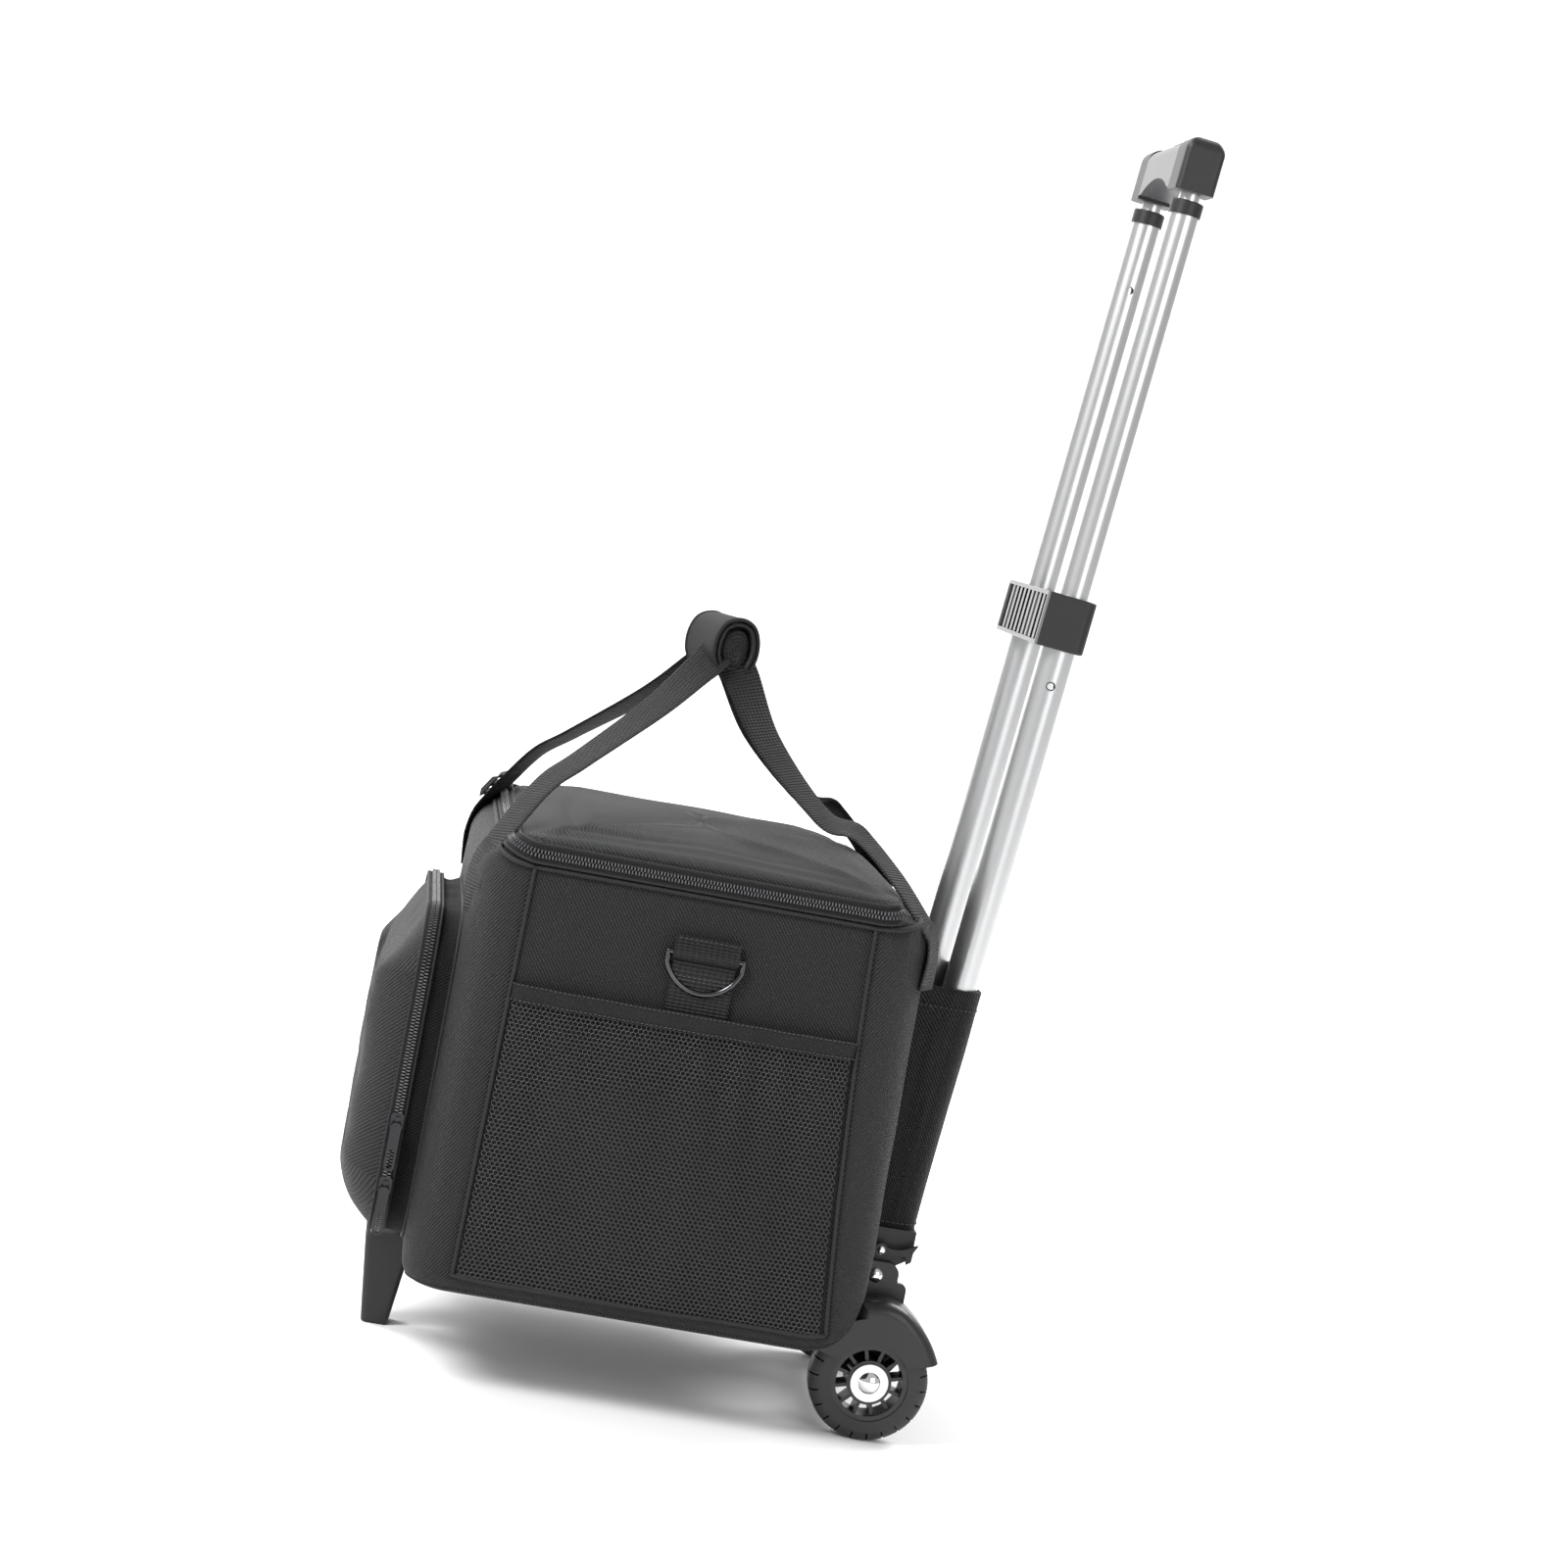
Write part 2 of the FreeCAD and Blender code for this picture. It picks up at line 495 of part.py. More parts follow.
def make_grip():
    """Upper shell, lower shell with an arched underside, two end caps."""
    half = GRIP_DEPTH / 2
    split = GRIP_BOTTOM + GRIP_SPLIT
    cavity_low, cavity_high = GRIP_BOTTOM + 10, GRIP_TOP - 6
    cavity = box(-TUBE_X - 6, TUBE_X + 6, -5.2, 5.2, cavity_low, cavity_high)
    slab_low = cavity_high - 0.5
    slot = plan_slab(BUTTON_LENGTH / 2 + GAP, -BUTTON_DEPTH / 2 - GAP, BUTTON_DEPTH / 2 + GAP,
                     BUTTON_CORNER + GAP,
                     slab_low - BUTTON_TRAVEL - GAP, GRIP_TOP + 1)
    bar_top = GRIP_TOP - 1.5
    body = grip_profile(-GRIP_JOIN, GRIP_JOIN, GRIP_BOTTOM + 2, bar_top, 8.0)
    sag = GRIP_JOIN * 0.94
    low = GRIP_BOTTOM + 1
    arch_outline = [
        Part.Arc(Vector(-sag, -half - 1, low), Vector(0, -half - 1, low + GRIP_ARCH),
                 Vector(sag, -half - 1, low)),
        Part.LineSegment(Vector(sag, -half - 1, low), Vector(-sag, -half - 1, low)),
    ]
    arch_face = Part.Face(Part.Wire([curve.toShape() for curve in arch_outline]))
    arch = arch_face.extrude(Vector(0, GRIP_DEPTH + 2, 0))
    body = body.cut(arch).cut(cavity).cut(slot)
    above = box(-GRIP_HALF, GRIP_HALF, -half - 1, half + 1, split, GRIP_TOP + 5)
    export("grip_body", leaning(body.common(above)))
    export("grip_underside", leaning(body.cut(above)))

    cap = box(GRIP_JOIN, GRIP_HALF, -half, half, GRIP_BOTTOM, GRIP_TOP)
    top_long = edges_where(cap, lambda edge: edge.CenterOfMass.z > GRIP_TOP - 0.1
                           and (abs(edge.tangentAt(edge.FirstParameter).x) > 0.9
                                or edge.CenterOfMass.x > GRIP_HALF - 0.1))
    cap = cap.makeFillet(GRIP_ROUND, top_long)
    outer_upright = edges_where(cap, lambda edge: abs(edge.tangentAt(edge.FirstParameter).z) > 0.9
                                and edge.CenterOfMass.x > GRIP_HALF - 0.5)
    cap = cap.makeFillet(4.0, outer_upright)
    tube_seat = rod(INNER_R, Vector(TUBE_X, 0, GRIP_BOTTOM - 1), Vector(TUBE_X, 0, cavity_low))
    cap = leaning(cap.cut(cavity).cut(tube_seat))
    export("grip_caps", Part.makeCompound([cap, mirrored(cap)]))

    button_low = GRIP_TOP - 12
    button = plan_slab(BUTTON_LENGTH / 2, -BUTTON_DEPTH / 2, BUTTON_DEPTH / 2, BUTTON_CORNER, slab_low,
                       bar_top + BUTTON_PROUD)
    crest = edges_where(button, lambda edge: edge.CenterOfMass.z > bar_top + BUTTON_PROUD - 0.1)
    button = button.makeFillet(1.2, crest)
    stem = box(-BUTTON_LENGTH / 2 + 2, BUTTON_LENGTH / 2 - 2, -4, 4, button_low, cavity_high)
    export("release_button", leaning(button.fuse(stem).removeSplitter()))

    bar_low = button_low - CROSSBAR_HEIGHT
    crossbar = box(-TUBE_X - 3, TUBE_X + 3, -3.5, 3.5, bar_low, button_low)
    rods = crossbar
    for side in (1, -1):
        foot = UPPER_PIN_AT + 8 + BUTTON_TRAVEL + 1
        rods = rods.fuse(rod(ROD_D / 2, Vector(side * TUBE_X, 0, foot), Vector(side * TUBE_X, 0, bar_low)))
    export("release_rods", leaning(rods.removeSplitter()))


# ---------------------------------------------------------------- sockets, latch, rivets
def make_sockets():
    """Moulded foot of each lower tube: round below the rivet, square round the tube."""
    eye = 12.0
    top = TUBE_LOWER_FOOT + SOCKET_HEIGHT - 24
    front = BAG_BACK + PLATE_THICK + 0.5
    back_low = RIVET_Y + eye
    back_high = mast_y(top) + LOWER_R + SOCKET_WALL
    knee = TUBE_LOWER_FOOT - 3.0
    drop = math.sqrt(eye ** 2 - (RIVET_Y - front) ** 2)
    outline = [
        ((front, top), (front, RIVET_Z - drop)),
        ((front, RIVET_Z - drop), (RIVET_Y, RIVET_Z - eye), (back_low, RIVET_Z)),
        ((back_low, RIVET_Z), (back_low, knee - 6)),
        ((back_low, knee - 6), (back_high, knee)),
        ((back_high, knee), (back_high, top)),
        ((back_high, top), (front, top)),
    ]
    socket = side_plate(outline, SOCKET_IN, SOCKET_OUT)
    tube = leaning(rod(LOWER_R, Vector(TUBE_X, 0, TUBE_LOWER_FOOT), Vector(TUBE_X, 0, TUBE_LOWER_TOP)))
    rivet_way = rod(RIVET_D / 2, RIVET + Vector(SOCKET_IN - 1, 0, 0), RIVET + Vector(SOCKET_OUT + 1, 0, 0))
    screw_way = rod(LATCH_SCREW_D / 2, Vector(SOCKET_OUT - 3, RIVET_Y, LATCH_SCREW_Z),
                    Vector(SOCKET_OUT + 1, RIVET_Y, LATCH_SCREW_Z))
    right_and_left("tube_socket", socket.cut(tube).cut(rivet_way).cut(screw_way).cut(base_screws()))


def dome_head(radius, height, place, direction):
    """Rivet or cap head: a slice of a sphere."""
    ball_r = (radius ** 2 + height ** 2) / (2 * height)
    ball = Part.makeSphere(ball_r, place + direction * (height - ball_r))
    keep = Part.makeCylinder(ball_r + 1, ball_r * 3, place, direction)
    return ball.common(keep)


def make_rivets():
    """Fold rivets through both lugs and the socket, and the latch's screw."""
    solids = []
    inner = SOCKET_IN - GAP - 0.2 - LUG_THICK
    shank = rod(RIVET_D / 2, RIVET + Vector(inner, 0, 0), RIVET + Vector(LUG_OUT + GAP, 0, 0))
    head = dome_head(RIVET_HEAD_R, 2.6, RIVET + Vector(LUG_OUT + GAP, 0, 0), ALONG_X)
    rivet = shank.fuse(head).removeSplitter()
    solids.append(rivet)
    solids.append(mirrored(rivet))
    screw_at = Vector(SOCKET_OUT - 3, RIVET_Y, LATCH_SCREW_Z)
    screw_end = Vector(LUG_OUT + 2 * GAP + LATCH_THICK, RIVET_Y, LATCH_SCREW_Z)
    screw = rod(LATCH_SCREW_D / 2, screw_at, screw_end)
    screw = screw.fuse(dome_head(2.5, 1.2, screw_end, ALONG_X)).removeSplitter()
    solids.append(screw)
    export("pivot_rivets", Part.makeCompound(solids))


def make_latch():
    """Hook with an eye on the screw, a nose behind the lug and an upturned finger tab."""
    x0, x1 = LUG_OUT + GAP, LUG_OUT + GAP + LATCH_THICK
    eye = rod(4.2, Vector(x0, RIVET_Y, LATCH_SCREW_Z), Vector(x1, RIVET_Y, LATCH_SCREW_Z))
    low, high = LATCH_SCREW_Z - 2.0, LATCH_SCREW_Z + 3.2
    reach = RIVET_Y + 20
    outline = [
        ((RIVET_Y, low), (reach - 4, low)),
        ((reach - 4, low), (reach - 3, low - 5)),
        ((reach - 3, low - 5), (reach, low - 3)),
        ((reach, low - 3), (reach + 0.5, high - 2)),
        ((reach + 0.5, high - 2), (reach + 3, high + 3)),
        ((reach + 3, high + 3), (reach, high + 2)),
        ((reach, high + 2), (reach - 8, high - 1.5), (RIVET_Y, high)),
        ((RIVET_Y, high), (RIVET_Y, low)),
    ]
    arm = side_plate(outline, x0, x1)
    way = rod(LATCH_SCREW_D / 2 + RUN_FIT, Vector(x0 - 1, RIVET_Y, LATCH_SCREW_Z),
              Vector(x1 + 1, RIVET_Y, LATCH_SCREW_Z))
    export("latch_hook", eye.fuse(arm).cut(way).removeSplitter())


# ---------------------------------------------------------------- wheel truck
def make_fenders():
    """Moulded shroud: a hollow hood over the tyre that rises into the lug for the rivet."""
    axle_y, axle_z = AXLE.y, AXLE.z
    room = WHEEL_R + WHEEL_ROOM
    shell_r = room + FENDER_WALL

    def at(radius, angle):
        turn = math.radians(angle)
        return (axle_y + radius * math.cos(turn), axle_z + radius * math.sin(turn))

    tip = at(WHEEL_R + FENDER_REACH, 25)
    shoulder = (RIVET_Y + 22.5, RIVET_Z - 16.0)
    crest = (RIVET_Y - 9.0, RIVET_Z - 13.0)
    heel = at(shell_r, 156)
    outline = [
        (tip, at(WHEEL_R + FENDER_REACH + 1.2, 46), shoulder),
        (shoulder, (RIVET_Y + 10, RIVET_Z - 11.5), (RIVET_Y, RIVET_Z - 12)),
        ((RIVET_Y, RIVET_Z - 12), crest),
        (crest, at(shell_r, 112)),
        (at(shell_r, 112), at(shell_r, 134), heel),
        (heel, at(FENDER_WINDOW_R - 1, 150)),
        (at(FENDER_WINDOW_R - 1, 150), at(FENDER_WINDOW_R - 4, 36)),
        (at(FENDER_WINDOW_R - 4, 36), tip),
    ]
    hood = side_plate(outline, LUG_IN, FENDER_OUT)
    rim = edges_where(hood, lambda edge: edge.CenterOfMass.x > FENDER_OUT - 0.01
                      and (edge.CenterOfMass - Vector(FENDER_OUT, axle_y, axle_z)).Length > WHEEL_R)
    hood = hood.makeFillet(FENDER_FILLET, rim[:4])
    cavity = rod(room, AXLE + Vector(LUG_IN + FENDER_WALL, 0, 0),
                 AXLE + Vector(FENDER_OUT - FENDER_WALL, 0, 0))
    window = rod(FENDER_WINDOW_R, AXLE + Vector(FENDER_OUT - FENDER_WALL - 1, 0, 0),
                 AXLE + Vector(FENDER_OUT + 1, 0, 0))
    hood = hood.cut(cavity).cut(window)

    lug_top = RIVET_Z + 9.0
    front = RIVET_Y - 9.0
    rear = RIVET_Y + 21.0
    sweep = LATCH_SCREW_Z - RIVET_Z - LATCH_SCREW_D / 2 - 1.0
    low = RIVET_Z - 22.0
    step = RIVET_Z - 3.0
    lug_outline = [
        ((front, low), (front, lug_top - 4)),
        ((front, lug_top - 4), (front + 1.2, lug_top - 1.2), (front + 4, lug_top)),
        ((front + 4, lug_top), (RIVET_Y + 8, lug_top)),
        ((RIVET_Y + 8, lug_top), (RIVET_Y + sweep * 0.88, RIVET_Z + sweep * 0.44),
         (RIVET_Y + sweep, RIVET_Z)),
        ((RIVET_Y + sweep, RIVET_Z), (RIVET_Y + sweep, step)),
        ((RIVET_Y + sweep, step), (rear - 4, step)),
        ((rear - 4, step), (rear - 1.2, step - 1.2), (rear, step - 4)),
        ((rear, step - 4), (rear, low)),
        ((rear, low), (front, low)),
    ]
    lug = side_plate(lug_outline, LUG_IN, LUG_OUT)
    boss = rod(11.0, AXLE + Vector(LUG_IN, 0, 0), AXLE + Vector(LUG_IN + FENDER_WALL, 0, 0))
    web_outline = [
        (at(room + 1, 40), at(room + 1, 140)),
        (at(room + 1, 140), at(10.5, 200)),
        (at(10.5, 200), at(10.5, -20)),
        (at(10.5, -20), at(room + 1, 40)),
    ]
    web = side_plate(web_outline, LUG_IN, LUG_IN + FENDER_WALL)
    fender = hood.fuse([lug, boss, web])
    rivet_way = rod(RIVET_D / 2 + RUN_FIT, RIVET + Vector(LUG_IN - 1, 0, 0),
                    RIVET + Vector(LUG_OUT + 1, 0, 0))
    axle_way = rod(AXLE_D / 2, AXLE + Vector(LUG_IN - 1, 0, 0), AXLE + Vector(FENDER_OUT, 0, 0))
    clear = rod(room, AXLE + Vector(LUG_IN + FENDER_WALL, 0, 0),
                AXLE + Vector(FENDER_OUT - FENDER_WALL, 0, 0))
    fender = fender.cut(rivet_way).cut(axle_way).cut(clear).removeSplitter()
    right_and_left("fender", fender)


def make_axle():
    """Beam between the fenders with an arm up to each rivet, and the axle through it."""
    beam = rod(BEAM_R, AXLE - Vector(LUG_IN, 0, 0), AXLE + Vector(LUG_IN, 0, 0))
    arm_out = SOCKET_IN - GAP - 0.2
    arm_in = arm_out - LUG_THICK
    arm_outline = [
        ((AXLE.y - BEAM_R, AXLE.z), (RIVET_Y - 8, RIVET_Z)),
        ((RIVET_Y - 8, RIVET_Z), (RIVET_Y, RIVET_Z + 8), (RIVET_Y + 8, RIVET_Z)),
        ((RIVET_Y + 8, RIVET_Z), (AXLE.y + BEAM_R, AXLE.z)),
        ((AXLE.y + BEAM_R, AXLE.z), (AXLE.y - BEAM_R, AXLE.z)),
    ]
    for start, end in ((arm_in, arm_out), (-arm_out, -arm_in)):
        beam = beam.fuse(side_plate(arm_outline, start, end))
        beam = beam.cut(rod(RIVET_D / 2 + RUN_FIT, RIVET + Vector(start - 1, 0, 0),
                            RIVET + Vector(end + 1, 0, 0)))
    axle_end = TYRE_OUT - HUB_RECESS + WASHER_THICK + 0.6
    beam = beam.cut(rod(AXLE_D / 2, AXLE - Vector(LUG_IN + 1, 0, 0), AXLE + Vector(LUG_IN + 1, 0, 0)))
    export("axle_beam", beam.removeSplitter())
    export("axle_shaft", rod(AXLE_D / 2, AXLE - Vector(axle_end, 0, 0), AXLE + Vector(axle_end, 0, 0)))
    washer_x = TYRE_OUT - HUB_RECESS + GAP
    washer = pipe(WASHER_R, WASHER_R - AXLE_D / 2, AXLE + Vector(washer_x, 0, 0),
                  AXLE + Vector(washer_x + WASHER_THICK, 0, 0))
    export("hub_washers", Part.makeCompound([washer, mirrored(washer)]))
    cap = dome_head(CAP_R, 3.2, AXLE + Vector(axle_end, 0, 0), ALONG_X)
    export("axle_caps", Part.makeCompound([cap, mirrored(cap)]))


def make_wheels():
    """Spoked rim and slit tyre, both turned about the axle."""
    hub_in, hub_out = TYRE_IN - 0.8, TYRE_OUT - HUB_RECESS
    ring_in, ring_out = TYRE_IN + 1, TYRE_OUT - 1
    hub = pipe(HUB_R, HUB_R - AXLE_D / 2 - RUN_FIT, AXLE + Vector(hub_in, 0, 0), AXLE + Vector(hub_out, 0, 0))
    ring = pipe(TYRE_BORE_R, TYRE_BORE_R - RIM_INNER_R, AXLE + Vector(ring_in, 0, 0),
                AXLE + Vector(ring_out, 0, 0))
    rim = hub.fuse(ring)
    spoke = box(TYRE_IN + 4, hub_out - 1.5, AXLE.y - SPOKE_THICK / 2, AXLE.y + SPOKE_THICK / 2,
                AXLE.z + HUB_R - 1, AXLE.z + RIM_INNER_R + 1)
    for index in range(SPOKE_COUNT):
        turned = spoke.copy()
        turned.rotate(AXLE, ALONG_X, 360 / SPOKE_COUNT * (index + 0.5))
        rim = rim.fuse(turned)
    right_and_left("rim", rim.removeSplitter())

    flat_in, flat_out = TYRE_IN + TYRE_SHOULDER, TYRE_OUT - TYRE_SHOULDER
    drop = TYRE_SHOULDER * (1 - math.sqrt(0.5))
    low = WHEEL_R - TYRE_SHOULDER
    places = [AXLE + Vector(x, 0, r) for x, r in (
        (TYRE_IN, TYRE_BORE_R), (TYRE_IN, low), (TYRE_IN + drop, WHEEL_R - drop), (flat_in, WHEEL_R),
        (flat_out, WHEEL_R), (TYRE_OUT - drop, WHEEL_R - drop), (TYRE_OUT, low), (TYRE_OUT, TYRE_BORE_R))]
    section = Part.Wire([
        Part.LineSegment(places[0], places[1]).toShape(),
        Part.Arc(places[1], places[2], places[3]).toShape(),
        Part.LineSegment(places[3], places[4]).toShape(),
        Part.Arc(places[4], places[5], places[6]).toShape(),
        Part.LineSegment(places[6], places[7]).toShape(),
        Part.LineSegment(places[7], places[0]).toShape(),
    ])
    tyre = Part.Face(section).revolve(AXLE, ALONG_X, 360)
    slits = []
    for index in range(TREAD_SLITS):
        for start, end, half_step in ((TYRE_IN - 1, flat_in + 1, 0), (flat_out - 1, TYRE_OUT + 1, 0.5)):
            slit = box(start, end, AXLE.y - 0.5, AXLE.y + 0.5, AXLE.z + WHEEL_R - 5.5, AXLE.z + WHEEL_R + 1)
            slit.rotate(AXLE, ALONG_X, 360 / TREAD_SLITS * (index + half_step))
            slits.append(slit)
    right_and_left("tyre", tyre.cut(slits))


# ---------------------------------------------------------------- base plate and foot
def make_base():
    """Plate under the bag with ribs, two upright ears on the sockets and a front tongue."""
    rear = BAG_BACK + 0.5
    plate = plan_slab(PLATE_WIDTH / 2, PLATE_FRONT, rear - BAG_HEEL, 12.0, PLATE_LOW, PLATE_TOP)
    foot_centre = FOOT_FRONT + FOOT_SOLE / 2
    tongue = plan_slab(TONGUE_WIDTH / 2, foot_centre - FOOT_HEAD / 2, PLATE_FRONT + 30, 5.0,
                       PLATE_LOW, PLATE_TOP)
    plate = plate.fuse(tongue)
    for side in (1, -1):
        middle = side * TUBE_X
        half = (SOCKET_OUT - SOCKET_IN) / 2 - 3
        outline_bar = side_plate([
            ((rear - BAG_HEEL - 20, PLATE_LOW - 6), (rear + PLATE_THICK, PLATE_LOW - 6)),
            ((rear + PLATE_THICK, PLATE_LOW - 6), (rear + PLATE_THICK, RIVET_Z + 14)),
            ((rear + PLATE_THICK, RIVET_Z + 14), (rear, RIVET_Z + 14)),
            ((rear, RIVET_Z + 14), (rear, PLATE_TOP + BAG_HEEL * 0.7)),
            ((rear, PLATE_TOP + BAG_HEEL * 0.7), (rear - BAG_HEEL * 0.22, PLATE_TOP + 2),
             (rear - BAG_HEEL, PLATE_LOW)),
            ((rear - BAG_HEEL, PLATE_LOW), (rear - BAG_HEEL - 20, PLATE_LOW)),
            ((rear - BAG_HEEL - 20, PLATE_LOW), (rear - BAG_HEEL - 20, PLATE_LOW - 6)),
        ], middle - half, middle + half)
        plate = plate.fuse(outline_bar)
        rib = box(middle - 2, middle + 2, PLATE_FRONT + 12, rear - BAG_HEEL - 19, PLATE_LOW - 6, PLATE_LOW)
        plate = plate.fuse(rib)
    bag_heel = rod(BAG_HEEL + 0.4, Vector(-HALF_W, BAG_BACK - BAG_HEEL, BAG_FLOOR + BAG_HEEL),
                   Vector(HALF_W, BAG_BACK - BAG_HEEL, BAG_FLOOR + BAG_HEEL))
    heel_box = box(-HALF_W, HALF_W, BAG_BACK - BAG_HEEL, BAG_BACK, BAG_FLOOR, BAG_FLOOR + BAG_HEEL)
    plate = plate.cut(bag_heel.common(heel_box)).cut(base_screws())
    export("base_plate", plate.removeSplitter())
    export("base_screws", base_screws())

    wires = []
    for low, front, length, width in ((0.0, FOOT_FRONT, FOOT_SOLE, FOOT_WIDTH - 2),
                                      (PLATE_LOW, foot_centre - FOOT_HEAD / 2, FOOT_HEAD, FOOT_WIDTH)):
        wires.append(plan_wire(width / 2, front, front + length, FOOT_CORNER, low))
    foot = Part.makeLoft(wires, True, True)
    foot = foot.makeFillet(1.6, edges_where(foot, lambda edge: edge.CenterOfMass.z < 0.1))
    export("front_foot", foot)


def base_screws():
    """Flat-headed screws through the plate's ears into the sockets."""
    screws = []
    for side in (1, -1):
        for height in SCREW_HEIGHTS:
            start = Vector(side * (TUBE_X + SCREW_ASIDE), BAG_BACK + 0.5, height)
            head_end = start + Vector(0, SCREW_HEAD, 0)
            shank = rod(SCREW_D / 2, head_end, start + Vector(0, SCREW_LENGTH, 0))
            screws.append(shank.fuse(rod(SCREW_D, start, head_end)).removeSplitter())
    return Part.makeCompound(screws)


# ---------------------------------------------------------------- bag
def bag_form(inset, low, high):
    """The bag's outer form, or its inside when inset by the wall."""
    form = plan_slab(HALF_W - inset, BAG_FRONT + inset, BAG_BACK - inset, BAG_CORNER - inset, low, high)
    heel_r = BAG_HEEL - inset
    heel_y, heel_z = HEEL_Y, HEEL_Z
    corner = box(-HALF_W, HALF_W, heel_y, BAG_BACK + 1, BAG_FLOOR - 1, heel_z)
    heel = rod(heel_r, Vector(-HALF_W, heel_y, heel_z), Vector(HALF_W, heel_y, heel_z))
    form = form.cut(corner.cut(heel))
    for wall_y, inwards in ((BAG_FRONT, 1), (BAG_BACK, -1)):
        y, z = wall_y + inwards * BAG_SHOULDER, BAG_RIM - BAG_SHOULDER
        edge = box(-HALF_W, HALF_W, min(wall_y - inwards, y), max(wall_y - inwards, y), z, BAG_RIM + 2)
        bar = rod(BAG_SHOULDER - inset, Vector(-HALF_W, y, z), Vector(HALF_W, y, z))
        form = form.cut(edge.cut(bar))
    return form


def make_bag():
    outside = bag_form(0, BAG_FLOOR, BAG_RIM)
    front_low = edges_where(outside, lambda edge: edge.CenterOfMass.z < BAG_FLOOR + 0.1
                            and edge.CenterOfMass.y < BAG_FRONT + 1)
    outside = outside.makeFillet(BAG_TOE, front_low)
    inside = bag_form(BAG_WALL, BAG_FLOOR + BAG_WALL, BAG_RIM + 1)
    export("bag_body", outside.cut(inside))

    board_low = BAG_FLOOR + BAG_WALL
    board = plan_slab(HALF_W - BAG_WALL - 2, BAG_FRONT + BAG_WALL + BAG_TOE, BAG_BACK - BAG_HEEL, 20,
                      board_low, board_low + BOARD_THICK)
    export("bottom_board", board)

    skirt_low = BAG_RIM + GAP
    shoulder = skirt_low + LID_RISE
    lid = plan_slab(HALF_W, LID_FRONT, LID_BACK, LID_CORNER, skirt_low, shoulder)
    crown_wires = [plan_wire(HALF_W - inset, LID_FRONT + inset, LID_BACK - inset, LID_CORNER, shoulder + rise)
                   for inset, rise in ((0, 0), (12, LID_CROWN * 0.55), (34, LID_CROWN * 0.9),
                                       (70, LID_CROWN))]
    crown = Part.makeLoft(crown_wires, True, True)
    hollow = plan_slab(HALF_W - LID_WALL, LID_FRONT + LID_WALL, LID_BACK - LID_WALL, LID_CORNER - LID_WALL,
                       skirt_low - 1, shoulder - LID_WALL)
    export("lid_panel", lid.fuse(crown).removeSplitter().cut(hollow))


def make_sleeve():
    """Fabric sleeve sewn to the bag's back round both tubes."""
    outline = [
        ((BAG_BACK, SLEEVE_BOTTOM), (mast_y(SLEEVE_BOTTOM) + LOWER_R + SLEEVE_WALL, SLEEVE_BOTTOM)),
        ((mast_y(SLEEVE_BOTTOM) + LOWER_R + SLEEVE_WALL, SLEEVE_BOTTOM),
         (mast_y(SLEEVE_TOP) + LOWER_R + SLEEVE_WALL, SLEEVE_TOP)),
        ((mast_y(SLEEVE_TOP) + LOWER_R + SLEEVE_WALL, SLEEVE_TOP), (BAG_BACK, SLEEVE_TOP)),
        ((BAG_BACK, SLEEVE_TOP), (BAG_BACK, SLEEVE_BOTTOM)),
    ]
    half = TUBE_X + LOWER_R + SLEEVE_WALL
    sleeve = side_plate(outline, -half, half)
    rear_upright = edges_where(sleeve, lambda edge: edge.CenterOfMass.y > BAG_BACK + 20
                               and abs(edge.CenterOfMass.x) > half - 0.1
                               and abs(edge.tangentAt(edge.FirstParameter).z) > 0.9)
    sleeve = sleeve.makeFillet(9.0, rear_upright)
    for side in (1, -1):
        way = rod(LOWER_R + GAP, Vector(side * TUBE_X, 0, 0), Vector(side * TUBE_X, 0, TUBE_LOWER_TOP))
        sleeve = sleeve.cut(leaning(way))
    for side in (1, -1):
        socket_room = box(side * TUBE_X - 18, side * TUBE_X + 18, BAG_BACK - 1, 40,
                          SLEEVE_BOTTOM - 1, TUBE_LOWER_FOOT + SOCKET_HEIGHT - 24 + GAP)
        sleeve = sleeve.cut(socket_room)
    export("tube_sleeve", sleeve)


def make_front_pocket():
    """Gusset band on the bag's front, and a domed flap that opens downwards."""
    half = POCKET_WIDTH / 2
    band = upright_slab(half, POCKET_BOTTOM, POCKET_TOP, POCKET_CORNER, POCKET_FACE, BAG_FRONT)
    room = upright_slab(half - POCKET_WALL, POCKET_BOTTOM + POCKET_WALL, POCKET_TOP - POCKET_WALL,
                        POCKET_CORNER - POCKET_WALL, POCKET_FACE - 1, BAG_FRONT + 1)
    export("pocket_gusset", band.cut(room))

    def dome(inset, start):
        wires = []
        for share, rise in ((0.0, 0.0), (0.03, 0.42), (0.12, 0.78), (0.26, 0.95), (0.42, 1.0)):
            margin = inset + share * half
            ring = plan_wire(half - margin, POCKET_BOTTOM + margin, POCKET_TOP - margin - 26 * rise * share,
                             max(POCKET_CORNER - margin * 0.6, 8), 0)
            ring.rotate(CENTRE, ALONG_X, 90)
            ring.translate(Vector(0, start - rise * (POCKET_BULGE - inset), 0))
            wires.append(ring)
        return Part.makeLoft(wires, True, True)

    front = POCKET_FACE - GAP
    flap = dome(0, front).cut(dome(POCKET_WALL, front + 0.01))
    export("pocket_flap", flap)


